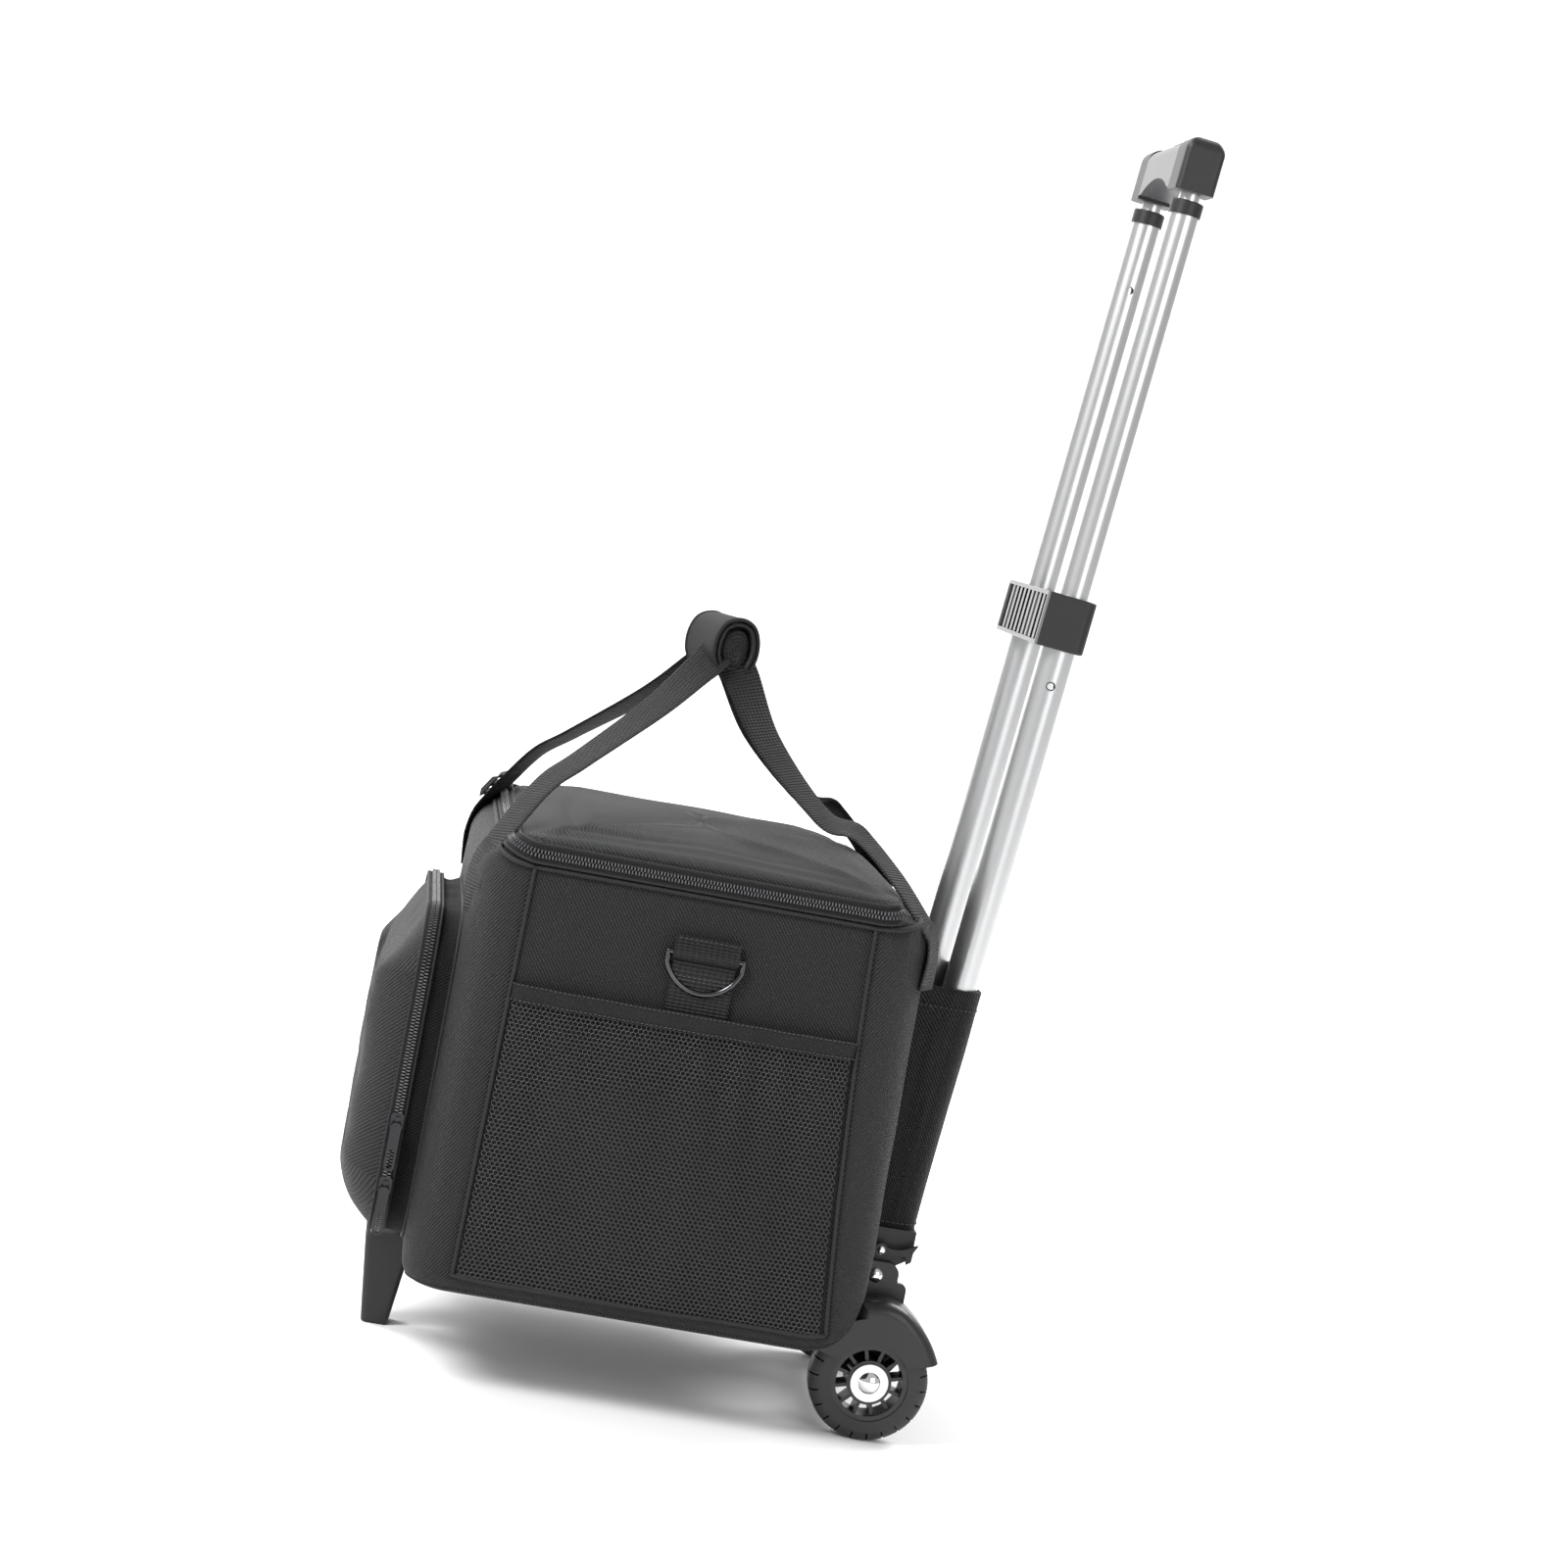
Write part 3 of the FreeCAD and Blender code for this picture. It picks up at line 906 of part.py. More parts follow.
def make_mesh_pockets():
    """Net pocket on each side, open at the top."""
    def bulge(inset, top):
        wires = []
        for margin, rise in ((0, 0.0), (3, 0.7), (12, 1.0)):
            y0, y1 = MESH_FRONT + margin + inset, MESH_REAR - margin - inset
            z0 = MESH_BOTTOM + margin + inset
            x = HALF_W + (MESH_BULGE - inset) * rise
            wires.append(Part.makePolygon([Vector(x, y0, z0), Vector(x, y1, z0), Vector(x, y1, top),
                                           Vector(x, y0, top), Vector(x, y0, z0)]))
        return Part.makeLoft(wires, True, True)

    pocket = bulge(0, MESH_TOP).cut(bulge(MESH_WALL, MESH_TOP + 5))
    right_and_left("mesh_pocket", pocket)


def make_rings():
    """Webbing tab with a loop, and a wire D-ring that swings in it."""
    ring_x = HALF_W + TAB_THICK + RING_WIRE / 2 + GAP + 0.2
    y0, y1 = RING_Y - TAB_WIDTH / 2, RING_Y + TAB_WIDTH / 2
    tab = box(HALF_W, HALF_W + TAB_THICK, y0, y1, TAB_BOTTOM, TAB_TOP)
    loop_r = RING_WIRE / 2 + GAP + 1.6
    loop = rod(loop_r, Vector(ring_x, y0, RING_Z), Vector(ring_x, y1, RING_Z))
    flap = box(HALF_W, ring_x, y0, y1, RING_Z + 1, TAB_TOP)
    flap = flap.makeFillet(2.0, edges_where(flap, lambda edge: edge.CenterOfMass.x > ring_x - 0.1
                                            and edge.CenterOfMass.z > TAB_TOP - 0.1))
    bore = rod(RING_WIRE / 2 + GAP, Vector(ring_x, y0 - 1, RING_Z), Vector(ring_x, y1 + 1, RING_Z))
    tab = tab.fuse([loop, flap]).cut(bore).removeSplitter()
    export("ring_tabs", Part.makeCompound([tab, mirrored(tab)]))

    wire_r = RING_WIRE / 2
    half = RING_WIDTH / 2 - wire_r
    knee = 6.0
    places = [Vector(0, y, z) for y, z in (
        (-half, 0), (-half, -knee), (0, wire_r - RING_DROP), (half, -knee), (half, 0))]
    bow = Part.Wire([
        Part.LineSegment(places[0], places[1]).toShape(),
        Part.Arc(places[1], places[2], places[3]).toShape(),
        Part.LineSegment(places[3], places[4]).toShape(),
    ])
    section = Part.Wire([Part.Circle(places[0], ALONG_Z, wire_r).toShape()])
    ring = bow.makePipeShell([section], True, False, 2)
    bar = rod(wire_r, places[0], places[4])
    ends = [Part.makeSphere(wire_r, places[0]), Part.makeSphere(wire_r, places[4])]
    ring = ring.fuse([bar] + ends).removeSplitter()
    ring.translate(Vector(ring_x, RING_Y, RING_Z))
    right_and_left("d_ring", ring)


# ---------------------------------------------------------------- straps
def make_straps():
    """One webbing loop each side, from the front panel over the lid to the back panel."""
    rim = BAG_RIM
    out = STRAP_THICK / 2 + GAP
    lid_top = rim + LID_RISE
    lean_in = Vector(1, 0, 0.55)
    stations = [
        (Vector(STRAP_X, BAG_FRONT - out, POCKET_TOP + 4), ALONG_X, Vector(0, -1, 0)),
        (Vector(STRAP_X, BAG_FRONT - out, rim - BAG_SHOULDER), ALONG_X, Vector(0, -1, 0)),
        (Vector(STRAP_X, BAG_FRONT - out + 2.5, rim - 2), ALONG_X, Vector(0, -1, 0.4)),
        (Vector(STRAP_X, BAG_FRONT + 20, lid_top + 9), ALONG_X, Vector(0, -1, 0.8)),
        (Vector(STRAP_X * 0.80, BAG_FRONT + 46, lid_top + 34), lean_in, Vector(0, -1, 0.9)),
        (Vector(STRAP_X * 0.36, APEX_Y - 45, APEX_Z - 34), lean_in, Vector(0, -1, 1)),
        (Vector(14, APEX_Y - 12, APEX_Z), lean_in, Vector(0, -0.3, 1)),
        (Vector(14, APEX_Y + 8, APEX_Z - 2), lean_in, Vector(0, 0.3, 1)),
        (Vector(STRAP_X * 0.36, APEX_Y + 36, APEX_Z - 38), lean_in, Vector(0, 1, 0.8)),
        (Vector(STRAP_X * 0.84, BAG_BACK - 44, lid_top + 34), lean_in, Vector(0, 1, 0.8)),
        (Vector(STRAP_X, BAG_BACK - 19, lid_top + 9), ALONG_X, Vector(0, 1, 0.6)),
        (Vector(STRAP_X, BAG_BACK + out - 2.5, rim - 2), ALONG_X, Vector(0, 1, 0.4)),
        (Vector(STRAP_X, BAG_BACK + out, rim - BAG_SHOULDER), ALONG_X, ALONG_Y),
        (Vector(STRAP_X, BAG_BACK + out, rim - 2 * BAG_SHOULDER), ALONG_X, ALONG_Y),
    ]
    strap = ribbon(stations, STRAP_WIDTH, STRAP_THICK)
    right_and_left("carry_strap", strap)
    wrap = rod(WRAP_R, Vector(-WRAP_LENGTH / 2, APEX_Y - 2, APEX_Z - 2),
               Vector(WRAP_LENGTH / 2, APEX_Y - 2, APEX_Z - 2))
    wrap = wrap.makeFillet(7.0, wrap.Edges[0:1] + wrap.Edges[2:3])
    export("grip_wrap", wrap)


# ---------------------------------------------------------------- zip sliders and pullers
def slider_block():
    """Zip slider lying on the XZ plane: body towards -Y, bridge on top of it."""
    half_l, half_w = SLIDER_LENGTH / 2, SLIDER_WIDTH / 2
    body = upright_slab(half_w, -half_l, half_l, 2.2, -SLIDER_THICK * 0.6, 0)
    bridge = box(-1.2, 1.2, -SLIDER_THICK, -SLIDER_THICK * 0.6, -half_l * 0.5, half_l * 0.6)
    window = rod(0.9, Vector(-2, -SLIDER_THICK * 0.72, -half_l * 0.05),
                 Vector(2, -SLIDER_THICK * 0.72, -half_l * 0.05))
    return body.fuse(bridge).cut(window).removeSplitter()


def puller_tab():
    """Pull tab with a ring-shaped end, hanging from the origin down."""
    y0 = -SLIDER_THICK - GAP - PULLER_THICK
    y1 = y0 + PULLER_THICK
    half = PULLER_WIDTH / 2
    tab = upright_slab(half, -PULLER_LENGTH, 0, half * 0.9, y0, y1)
    eye = upright_slab(half - 1.5, -PULLER_LENGTH + 1.6, -PULLER_LENGTH * 0.55, half * 0.45, y0 - 1, y1 + 1)
    return tab.cut(eye)


def placed(shape, turn, place):
    moved = shape.copy()
    moved.rotate(CENTRE, ALONG_Z, turn)
    moved.translate(place)
    return moved


def make_zips():
    slider, puller = slider_block(), puller_tab()
    rear_at = LID_BACK - LID_SLIDER_AHEAD
    for name, along in (("right", rear_at), ("left", rear_at - LID_SLIDER_STEP)):
        place = Vector(-HALF_W - GAP, along, BAG_RIM + 1)
        export("lid_slider_" + name, placed(slider, -90, place))
        export("lid_puller_" + name, placed(puller, -90, place))
    side = POCKET_WIDTH / 2 + GAP
    for name, height in (("high", POCKET_SLIDER_HIGH), ("low", POCKET_SLIDER_LOW)):
        place = Vector(side, POCKET_FACE, POCKET_BOTTOM + height)
        export("pocket_slider_" + name, placed(slider, 90, place))
        export("pocket_puller_" + name, placed(puller, 90, place))


make_mast()
make_yoke()
make_grip()
make_sockets()
make_rivets()
make_latch()
make_fenders()
make_axle()
make_wheels()
make_base()
make_bag()
make_sleeve()
make_front_pocket()
make_mesh_pockets()
make_rings()
make_straps()
make_zips()
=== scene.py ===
"""Looks for the wheeled speaker bag: soft pieces, finishes, studio and camera.

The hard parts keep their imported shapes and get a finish; the fabric parts are drawn here as
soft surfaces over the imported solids. Everything is in metres, in the frame of the pack.
"""
from __future__ import annotations

import json
import logging
import math
from dataclasses import dataclass
from enum import Enum

import bpy
import numpy as np
from mathutils import Matrix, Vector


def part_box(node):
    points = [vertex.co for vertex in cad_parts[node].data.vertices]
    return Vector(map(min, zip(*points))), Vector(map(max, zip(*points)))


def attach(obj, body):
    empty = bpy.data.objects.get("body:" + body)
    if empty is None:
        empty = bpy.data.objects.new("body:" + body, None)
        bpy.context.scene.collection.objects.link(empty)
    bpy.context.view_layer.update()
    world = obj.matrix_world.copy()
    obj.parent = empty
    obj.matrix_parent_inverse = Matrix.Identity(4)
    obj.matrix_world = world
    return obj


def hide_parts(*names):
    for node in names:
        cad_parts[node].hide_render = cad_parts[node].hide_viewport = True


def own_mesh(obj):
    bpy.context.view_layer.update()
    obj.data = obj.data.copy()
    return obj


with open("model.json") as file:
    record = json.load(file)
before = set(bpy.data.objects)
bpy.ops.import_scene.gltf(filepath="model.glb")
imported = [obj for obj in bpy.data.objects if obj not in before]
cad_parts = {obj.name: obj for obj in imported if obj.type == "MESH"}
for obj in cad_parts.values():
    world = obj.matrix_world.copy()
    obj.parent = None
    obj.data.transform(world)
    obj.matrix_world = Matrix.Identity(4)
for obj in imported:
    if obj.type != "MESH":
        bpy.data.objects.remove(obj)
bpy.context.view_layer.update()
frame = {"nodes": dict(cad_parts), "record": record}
LOG = logging.getLogger("speaker_bag")
MM = 0.001


class Weave(Enum):
    """Surface pattern of a finish."""

    NONE = "none"
    TWILL = "twill"
    WEBBING = "webbing"
    GRAIN = "grain"
    BRUSHED = "brushed"
    RIBS = "ribs"


class Body(Enum):
    """Bodies that the soft pieces ride on."""

    FRAME = "frame"
    LID = "lid"
    FLAP = "pocket_flap"


@dataclass(frozen=True)
class Finish:
    """One material: colour, gloss and surface pattern.

    Args:
        name: the material's name.
        color: base colour, linear.
        rough: roughness.
        metal: metallic share.
        weave: surface pattern.
        pitch: distance between ribs or grains, metres.
        depth: depth of the pattern, metres.
        contrast: how much the pattern lightens the colour.
        coat: clear coat weight.
        sheen: strength of the mirror-like reflection.
    """

    name: str
    color: tuple[float, float, float]
    rough: float = 0.5
    metal: float = 0.0
    weave: Weave = Weave.NONE
    pitch: float = 1.7 * MM
    depth: float = 0.3 * MM
    contrast: float = 1.0
    coat: float = 0.0
    sheen: float = 0.5

    def material(self) -> bpy.types.Material:
        """Return the Blender material, built once.

        Returns:
            The material with this finish.
        """
        found = bpy.data.materials.get(self.name)
        return found or NodeBuilder(self).build()


class NodeBuilder:
    """Builds the node tree of one finish."""

    def __init__(self, finish: Finish) -> None:
        """Create the material.

        Args:
            finish: what to build.
        """
        self.finish = finish
        self.material = bpy.data.materials.new(finish.name)
        self.material.use_nodes = True
        self.tree = self.material.node_tree
        self.shader = self.tree.nodes["Principled BSDF"]

    def node(self, kind: str, **values: object) -> bpy.types.Node:
        """Add a node and set its properties.

        Args:
            kind: node type.
            **values: properties of the node.

        Returns:
            The new node.
        """
        made = self.tree.nodes.new(kind)
        for key, value in values.items():
            setattr(made, key, value)
        return made

    def link(self, source: bpy.types.NodeSocket, target: bpy.types.NodeSocket) -> None:
        """Join two sockets.

        Args:
            source: output socket.
            target: input socket.
        """
        self.tree.links.new(source, target)

    def wave(self, vector: bpy.types.NodeSocket, across: tuple[float, float, float]) -> bpy.types.NodeSocket:
        """Sine of the position along a direction.

        Args:
            vector: coordinates.
            across: direction times angular frequency.

        Returns:
            A socket from -1 to 1.
        """
        dot = self.node("ShaderNodeVectorMath", operation="DOT_PRODUCT")
        self.link(vector, dot.inputs[0])
        dot.inputs[1].default_value = across
        sine = self.node("ShaderNodeMath", operation="SINE")
        self.link(dot.outputs["Value"], sine.inputs[0])
        return sine.outputs[0]

    def combine(self, operation: str, first: bpy.types.NodeSocket, second: object) -> bpy.types.NodeSocket:
        """Join two values by a maths node.

        Args:
            operation: name of the operation.
            first: a socket.
            second: a socket or a constant.

        Returns:
            The result's socket.
        """
        maths = self.node("ShaderNodeMath", operation=operation)
        self.link(first, maths.inputs[0])
        if isinstance(second, (int, float)):
            maths.inputs[1].default_value = second
        else:
            self.link(second, maths.inputs[1])
        return maths.outputs[0]

    def pattern(self) -> bpy.types.NodeSocket | None:
        """Height field of the finish's weave.

        Returns:
            A socket, or None for a plain finish.
        """
        look = self.finish
        coords = self.node("ShaderNodeTexCoord")
        turn = 2 * math.pi / look.pitch
        if look.weave is Weave.TWILL:
            ribs = self.wave(coords.outputs["UV"], (turn * 0.80, turn * 0.60, 0))
            threads = self.wave(coords.outputs["UV"], (-turn * 0.9, turn * 1.2, 0))
            return self.combine("ADD", ribs, self.combine("MULTIPLY", threads, 0.55))
        if look.weave is Weave.WEBBING:
            ribs = self.wave(coords.outputs["UV"], (0, turn, 0))
            threads = self.wave(coords.outputs["UV"], (turn * 0.8, 0, 0))
            return self.combine("ADD", ribs, self.combine("MULTIPLY", threads, 0.35))
        if look.weave is Weave.GRAIN:
            noise = self.node("ShaderNodeTexNoise")
            noise.inputs["Scale"].default_value = 1 / look.pitch
            noise.inputs["Detail"].default_value = 3.0
            self.link(coords.outputs["Object"], noise.inputs["Vector"])
            return noise.outputs["Fac"]
        if look.weave is Weave.BRUSHED:
            noise = self.node("ShaderNodeTexNoise")
            noise.inputs["Scale"].default_value = 1 / look.pitch
            stretch = self.node("ShaderNodeMapping")
            stretch.inputs["Scale"].default_value = (1, 1, 0.03)
            self.link(coords.outputs["Object"], stretch.inputs["Vector"])
            self.link(stretch.outputs["Vector"], noise.inputs["Vector"])
            return noise.outputs["Fac"]
        if look.weave is Weave.RIBS:
            # Narrow peaks: a faint bump, and through the contrast the painted highlight lines of the glossy ribs.
            half = self.combine("MULTIPLY", self.wave(coords.outputs["Object"], (turn, 0, 0)), 0.5)
            return self.combine("POWER", self.combine("ADD", half, 0.5), 12.0)
        return None

    def build(self) -> bpy.types.Material:
        """Fill the tree in.

        Returns:
            The finished material.
        """
        look = self.finish
        dark = (*look.color, 1.0)
        self.shader.inputs["Base Color"].default_value = dark
        self.shader.inputs["Roughness"].default_value = look.rough
        self.shader.inputs["Metallic"].default_value = look.metal
        self.shader.inputs["Specular IOR Level"].default_value = look.sheen
        self.shader.inputs["Coat Weight"].default_value = look.coat
        self.shader.inputs["Coat Roughness"].default_value = 0.12
        height = self.pattern()
        if height is None:
            return self.material
        bump = self.node("ShaderNodeBump")
        bump.inputs["Distance"].default_value = look.depth
        bump.inputs["Strength"].default_value = 1.0
        self.link(height, bump.inputs["Height"])
        self.link(bump.outputs["Normal"], self.shader.inputs["Normal"])
        if look.contrast > 0:
            blend = self.node("ShaderNodeMix", data_type="RGBA")
            ramp = self.node("ShaderNodeMapRange")
            low, high = {Weave.GRAIN: (0.3, 0.8), Weave.RIBS: (0.0, 1.0)}.get(look.weave, (-1.0, 1.4))
            ramp.inputs["From Min"].default_value = low
            ramp.inputs["From Max"].default_value = high
            self.link(height, ramp.inputs["Value"])
            self.link(ramp.outputs["Result"], blend.inputs["Factor"])
            dark, light = max(1 - 0.45 * look.contrast, 0.4), 1 + 0.9 * look.contrast
            for socket, share in (("A", dark), ("B", light)):
                blend.inputs[socket].default_value = tuple(c * share for c in look.color) + (1.0,)
            self.link(blend.outputs["Result"], self.shader.inputs["Base Color"])
        return self.material


TWILL = Finish("fabric_twill", (0.0150, 0.0150, 0.0160), rough=0.6, weave=Weave.TWILL, pitch=1.8 * MM,
               depth=0.5 * MM, contrast=1.3, sheen=0.28)
TWILL_DARK = Finish("fabric_twill_dark", (0.0065, 0.0065, 0.0070), rough=0.7, weave=Weave.TWILL, depth=0.3 * MM,
                    sheen=0.15)
LINING = Finish("fabric_lining", (0.03, 0.03, 0.032), rough=0.8, weave=Weave.TWILL, pitch=0.9 * MM, contrast=0.3,
                sheen=0.2)
PIPING = Finish("fabric_piping", (0.0120, 0.0120, 0.0128), rough=0.6, weave=Weave.GRAIN, pitch=0.8 * MM,
                contrast=0.3, sheen=0.25)
TAPE = Finish("zip_tape_cloth", (0.0090, 0.0090, 0.0096), rough=0.7, weave=Weave.GRAIN, pitch=0.6 * MM,
              contrast=0.4, sheen=0.15)
TEETH = Finish("zip_coil", (0.055, 0.055, 0.058), rough=0.26, sheen=0.8)
WEBBING = Finish("webbing_ribbed", (0.0120, 0.0120, 0.0128), rough=0.6, weave=Weave.WEBBING, pitch=2.1 * MM,
                 depth=0.5 * MM, contrast=1.1, sheen=0.25)
HEM = Finish("hem_tape", (0.0150, 0.0150, 0.0158), rough=0.65, weave=Weave.WEBBING, pitch=0.9 * MM, contrast=0.4,
             sheen=0.2)
NET = Finish("net_yarn", (0.034, 0.034, 0.036), rough=0.36, sheen=0.6)
THREAD = Finish("sewing_thread", (0.045, 0.045, 0.047), rough=0.55)
NEOPRENE = Finish("wrap_cloth", (0.0130, 0.0130, 0.0138), rough=0.7, weave=Weave.GRAIN, pitch=0.7 * MM,
                  contrast=0.4, sheen=0.25)
ALUMINIUM = Finish("satin_aluminium", (0.58, 0.585, 0.59), rough=0.30, metal=1.0, weave=Weave.BRUSHED,
                   pitch=0.4 * MM, depth=0.01 * MM, contrast=0.05)
MOULDING = Finish("black_moulding_grain", (0.012, 0.012, 0.013), rough=0.42, weave=Weave.GRAIN,
                  pitch=0.7 * MM, depth=0.03 * MM, contrast=0.0, sheen=0.35)
GRIP = Finish("grip_shell", (0.050, 0.050, 0.053), rough=0.36)
GRIP_CAP = Finish("grip_cap_grain", (0.014, 0.014, 0.015), rough=0.45, weave=Weave.GRAIN, pitch=1.1 * MM,
                  depth=0.12 * MM, contrast=0.2, sheen=0.35)
# Near-black glossy ribs with painted highlight lines: the rib pattern lifts the colour up to 13.6 times along each
# crest.
GLOSS_RIBS_PAINTED_HIGHLIGHTS = Finish("glossy_ribs_painted_highlights", (0.007, 0.007, 0.008), rough=0.22, weave=Weave.RIBS, pitch=8.0 * MM,
                    depth=0.01 * MM, contrast=14.0, sheen=0.2)
BEZEL = Finish("bezel_grey", (0.12, 0.12, 0.125), rough=0.4)
FENDER = Finish("fender_satin", (0.014, 0.014, 0.015), rough=0.34, sheen=0.4)
RUBBER = Finish("tyre_rubber", (0.012, 0.012, 0.013), rough=0.55, weave=Weave.GRAIN, pitch=0.9 * MM,
                depth=0.03 * MM, contrast=0.0)
SPOKES = Finish("rim_plastic", (0.012, 0.012, 0.013), rough=0.38)
STEEL = Finish("turned_steel", (0.70, 0.70, 0.71), rough=0.3, metal=1.0)
CHROME = Finish("polished_cap", (0.82, 0.82, 0.83), rough=0.08, metal=1.0)
BLACK_NICKEL = Finish("black_nickel", (0.07, 0.07, 0.074), rough=0.16, metal=1.0)
ENAMEL = Finish("black_enamel", (0.022, 0.022, 0.024), rough=0.25, metal=0.6)
BOARD = Finish("stiffener_board", (0.03, 0.03, 0.03), rough=0.6)
FLOOR = Finish("studio_floor", (0.88, 0.88, 0.88), rough=0.9)

CAD_FINISHES: dict[str, Finish] = {
    "tube_aluminium": ALUMINIUM, "black_moulding": MOULDING, "grip_body": GRIP, "grip_caps": GRIP_CAP,
    "bezel": BEZEL, "ribbed_inlay": GLOSS_RIBS_PAINTED_HIGHLIGHTS, "fender": FENDER, "tyre": RUBBER, "rim": SPOKES,
    "washer": STEEL, "bright_cap": CHROME, "steel": STEEL, "ring_wire": BLACK_NICKEL,
    "zip_hardware": ENAMEL, "board": BOARD,
}


# ------------------------------------------------------------------ mesh tools
def put_mesh(name: str, points: np.ndarray, faces: np.ndarray, finish: Finish,
             uv: np.ndarray | None = None, smooth: bool = True) -> bpy.types.Object:
    """Make one object from arrays.

    Args:
        name: object name.
        points: (V, 3) vertices.
        faces: (F, K) corner indices, all faces with K corners.
        finish: its material.
        uv: (F, K, 2) coordinates in metres, or None.
        smooth: smooth shading.

    Returns:
        The new object.
    """
    mesh = bpy.data.meshes.new(name)
    count, corners = faces.shape
    mesh.vertices.add(len(points))
    mesh.vertices.foreach_set("co", np.ascontiguousarray(points, np.float32).ravel())
    mesh.loops.add(count * corners)
    mesh.loops.foreach_set("vertex_index", np.ascontiguousarray(faces, np.int32).ravel())
    mesh.polygons.add(count)
    mesh.polygons.foreach_set("loop_start", np.arange(0, count * corners, corners, dtype=np.int32))
    mesh.update(calc_edges=True)
    mesh.polygons.foreach_set("use_smooth", np.full(count, smooth))
    if uv is not None:
        layer = mesh.uv_layers.new(name="UVMap")
        layer.data.foreach_set("uv", np.ascontiguousarray(uv, np.float32).ravel())
    mesh.validate()
    mesh.materials.append(finish.material())
    made = bpy.data.objects.new(name, mesh)
    bpy.context.scene.collection.objects.link(made)
    return made


def grid_faces(rows: int, columns: int, closed: bool) -> tuple[np.ndarray, np.ndarray, np.ndarray]:
    """Quads of a grid.

    Args:
        rows: number of rows of points.
        columns: number of columns of points.
        closed: the last column joins the first.

    Returns:
        Faces (F, 4), and each face corner's row and unwrapped column.
    """
    across = columns if closed else columns - 1
    row, column = np.meshgrid(np.arange(rows - 1), np.arange(across), indexing="ij")
    row, column = row.ravel(), column.ravel()
    rows4 = np.stack([row, row, row + 1, row + 1], 1)
    columns4 = np.stack([column, column + 1, column + 1, column], 1)
    return rows4 * columns + columns4 % columns, rows4, columns4


def put_grid(name: str, points: np.ndarray, finish: Finish, closed: bool = False,
             scale: tuple[float, float] | None = None, flips: np.ndarray | None = None) -> bpy.types.Object:
    """Make a surface from a grid of points, with coordinates measured along it.

    Args:
        name: object name.
        points: (R, C, 3) vertices.
        finish: its material.
        closed: the last column joins the first.
        scale: multiplies the two coordinates.
        flips: (C,) -1 or 1, turns the weave over per column.

    Returns:
        The new object.
    """
    rows, columns = points.shape[:2]
    faces, rows4, columns4 = grid_faces(rows, columns, closed)
    ring = points[rows // 2]
    steps = np.linalg.norm(np.roll(ring, -1, 0) - ring, axis=1)
    along = np.concatenate([[0], np.cumsum(steps)])
    rise = np.linalg.norm(np.diff(points, axis=0), axis=2).mean(1)
    up = np.concatenate([[0], np.cumsum(rise)])
    uv = np.stack([along[columns4], up[rows4]], 2)
    if flips is not None:
        uv[:, :, 0] *= flips[columns4[:, :1] % columns]
    if scale is not None:
        uv = uv * np.array(scale)
    return put_mesh(name, points.reshape(-1, 3), faces, finish, uv)


def unit(vectors: np.ndarray) -> np.ndarray:
    """Vectors of length one.

    Args:
        vectors: (..., 3).

    Returns:
        The same directions, with length one.
    """
    return vectors / np.maximum(np.linalg.norm(vectors, axis=-1, keepdims=True), 1e-12)


def resample(path: np.ndarray, step: float, *others: np.ndarray) -> tuple[np.ndarray, ...]:
    """Points at even distances along a path.

    Args:
        path: (K, 3).
        step: distance between points.
        *others: arrays (K, n) carried along.

    Returns:
        The new path and the carried arrays.
    """
    lengths = np.concatenate([[0], np.cumsum(np.linalg.norm(np.diff(path, axis=0), axis=1))])
    count = max(int(lengths[-1] / step), 2)
    at = np.linspace(0, lengths[-1], count)
    return tuple(np.stack([np.interp(at, lengths, data[:, k]) for k in range(data.shape[1])], 1)
                 for data in (path, *others))


def spline(keys: np.ndarray, steps: int = 14) -> np.ndarray:
    """Smooth curve through key rows.

    Args:
        keys: (K, n) values.
        steps: points per span.

    Returns:
        (M, n) values.
    """
    padded = np.concatenate([2 * keys[:1] - keys[1:2], keys, 2 * keys[-1:] - keys[-2:-1]])
    t = np.linspace(0, 1, steps, endpoint=False)[None, :, None]
    a, b, c, d = (padded[k:len(padded) - 3 + k, None, :] for k in range(4))
    curve = 0.5 * (2 * b + (c - a) * t + (2 * a - 5 * b + 4 * c - d) * t ** 2 + (3 * b - a - 3 * c + d) * t ** 3)
    return np.concatenate([curve.reshape(-1, keys.shape[1]), keys[-1:]])


def sweep(path: np.ndarray, normals: np.ndarray, section: np.ndarray) -> np.ndarray:
    """Carry a section along a path.

    Args:
        path: (K, 3).
        normals: (K, 3), the section's second axis.
        section: (S, 2) across and up.

    Returns:
        (K, S, 3) points.
    """
    tangents = unit(np.gradient(path, axis=0))
    across = unit(np.cross(tangents, normals))
    up = unit(np.cross(across, tangents))
    return path[:, None] + section[None, :, :1] * across[:, None] + section[None, :, 1:] * up[:, None]


def tube(name: str, path: np.ndarray, normals: np.ndarray, radius: float, finish: Finish,
         sides: int = 10) -> bpy.types.Object:
    """Round cord along a path, closed at its ends.

    Args:
        name: object name.
        path: (K, 3).
        normals: (K, 3) away from the surface below.
        radius: of the cord.
        finish: its material.
        sides: points round it.

    Returns:
        The new object.
    """
    turn = np.arange(sides) / sides * 2 * math.pi
    section = np.stack([np.cos(turn), np.sin(turn)], 1) * radius
    points = sweep(path, normals, section)
    points = np.concatenate([path[:1, None] + 0 * points[:1], points, path[-1:, None] + 0 * points[-1:]])
    return put_grid(name, points, finish, closed=True)


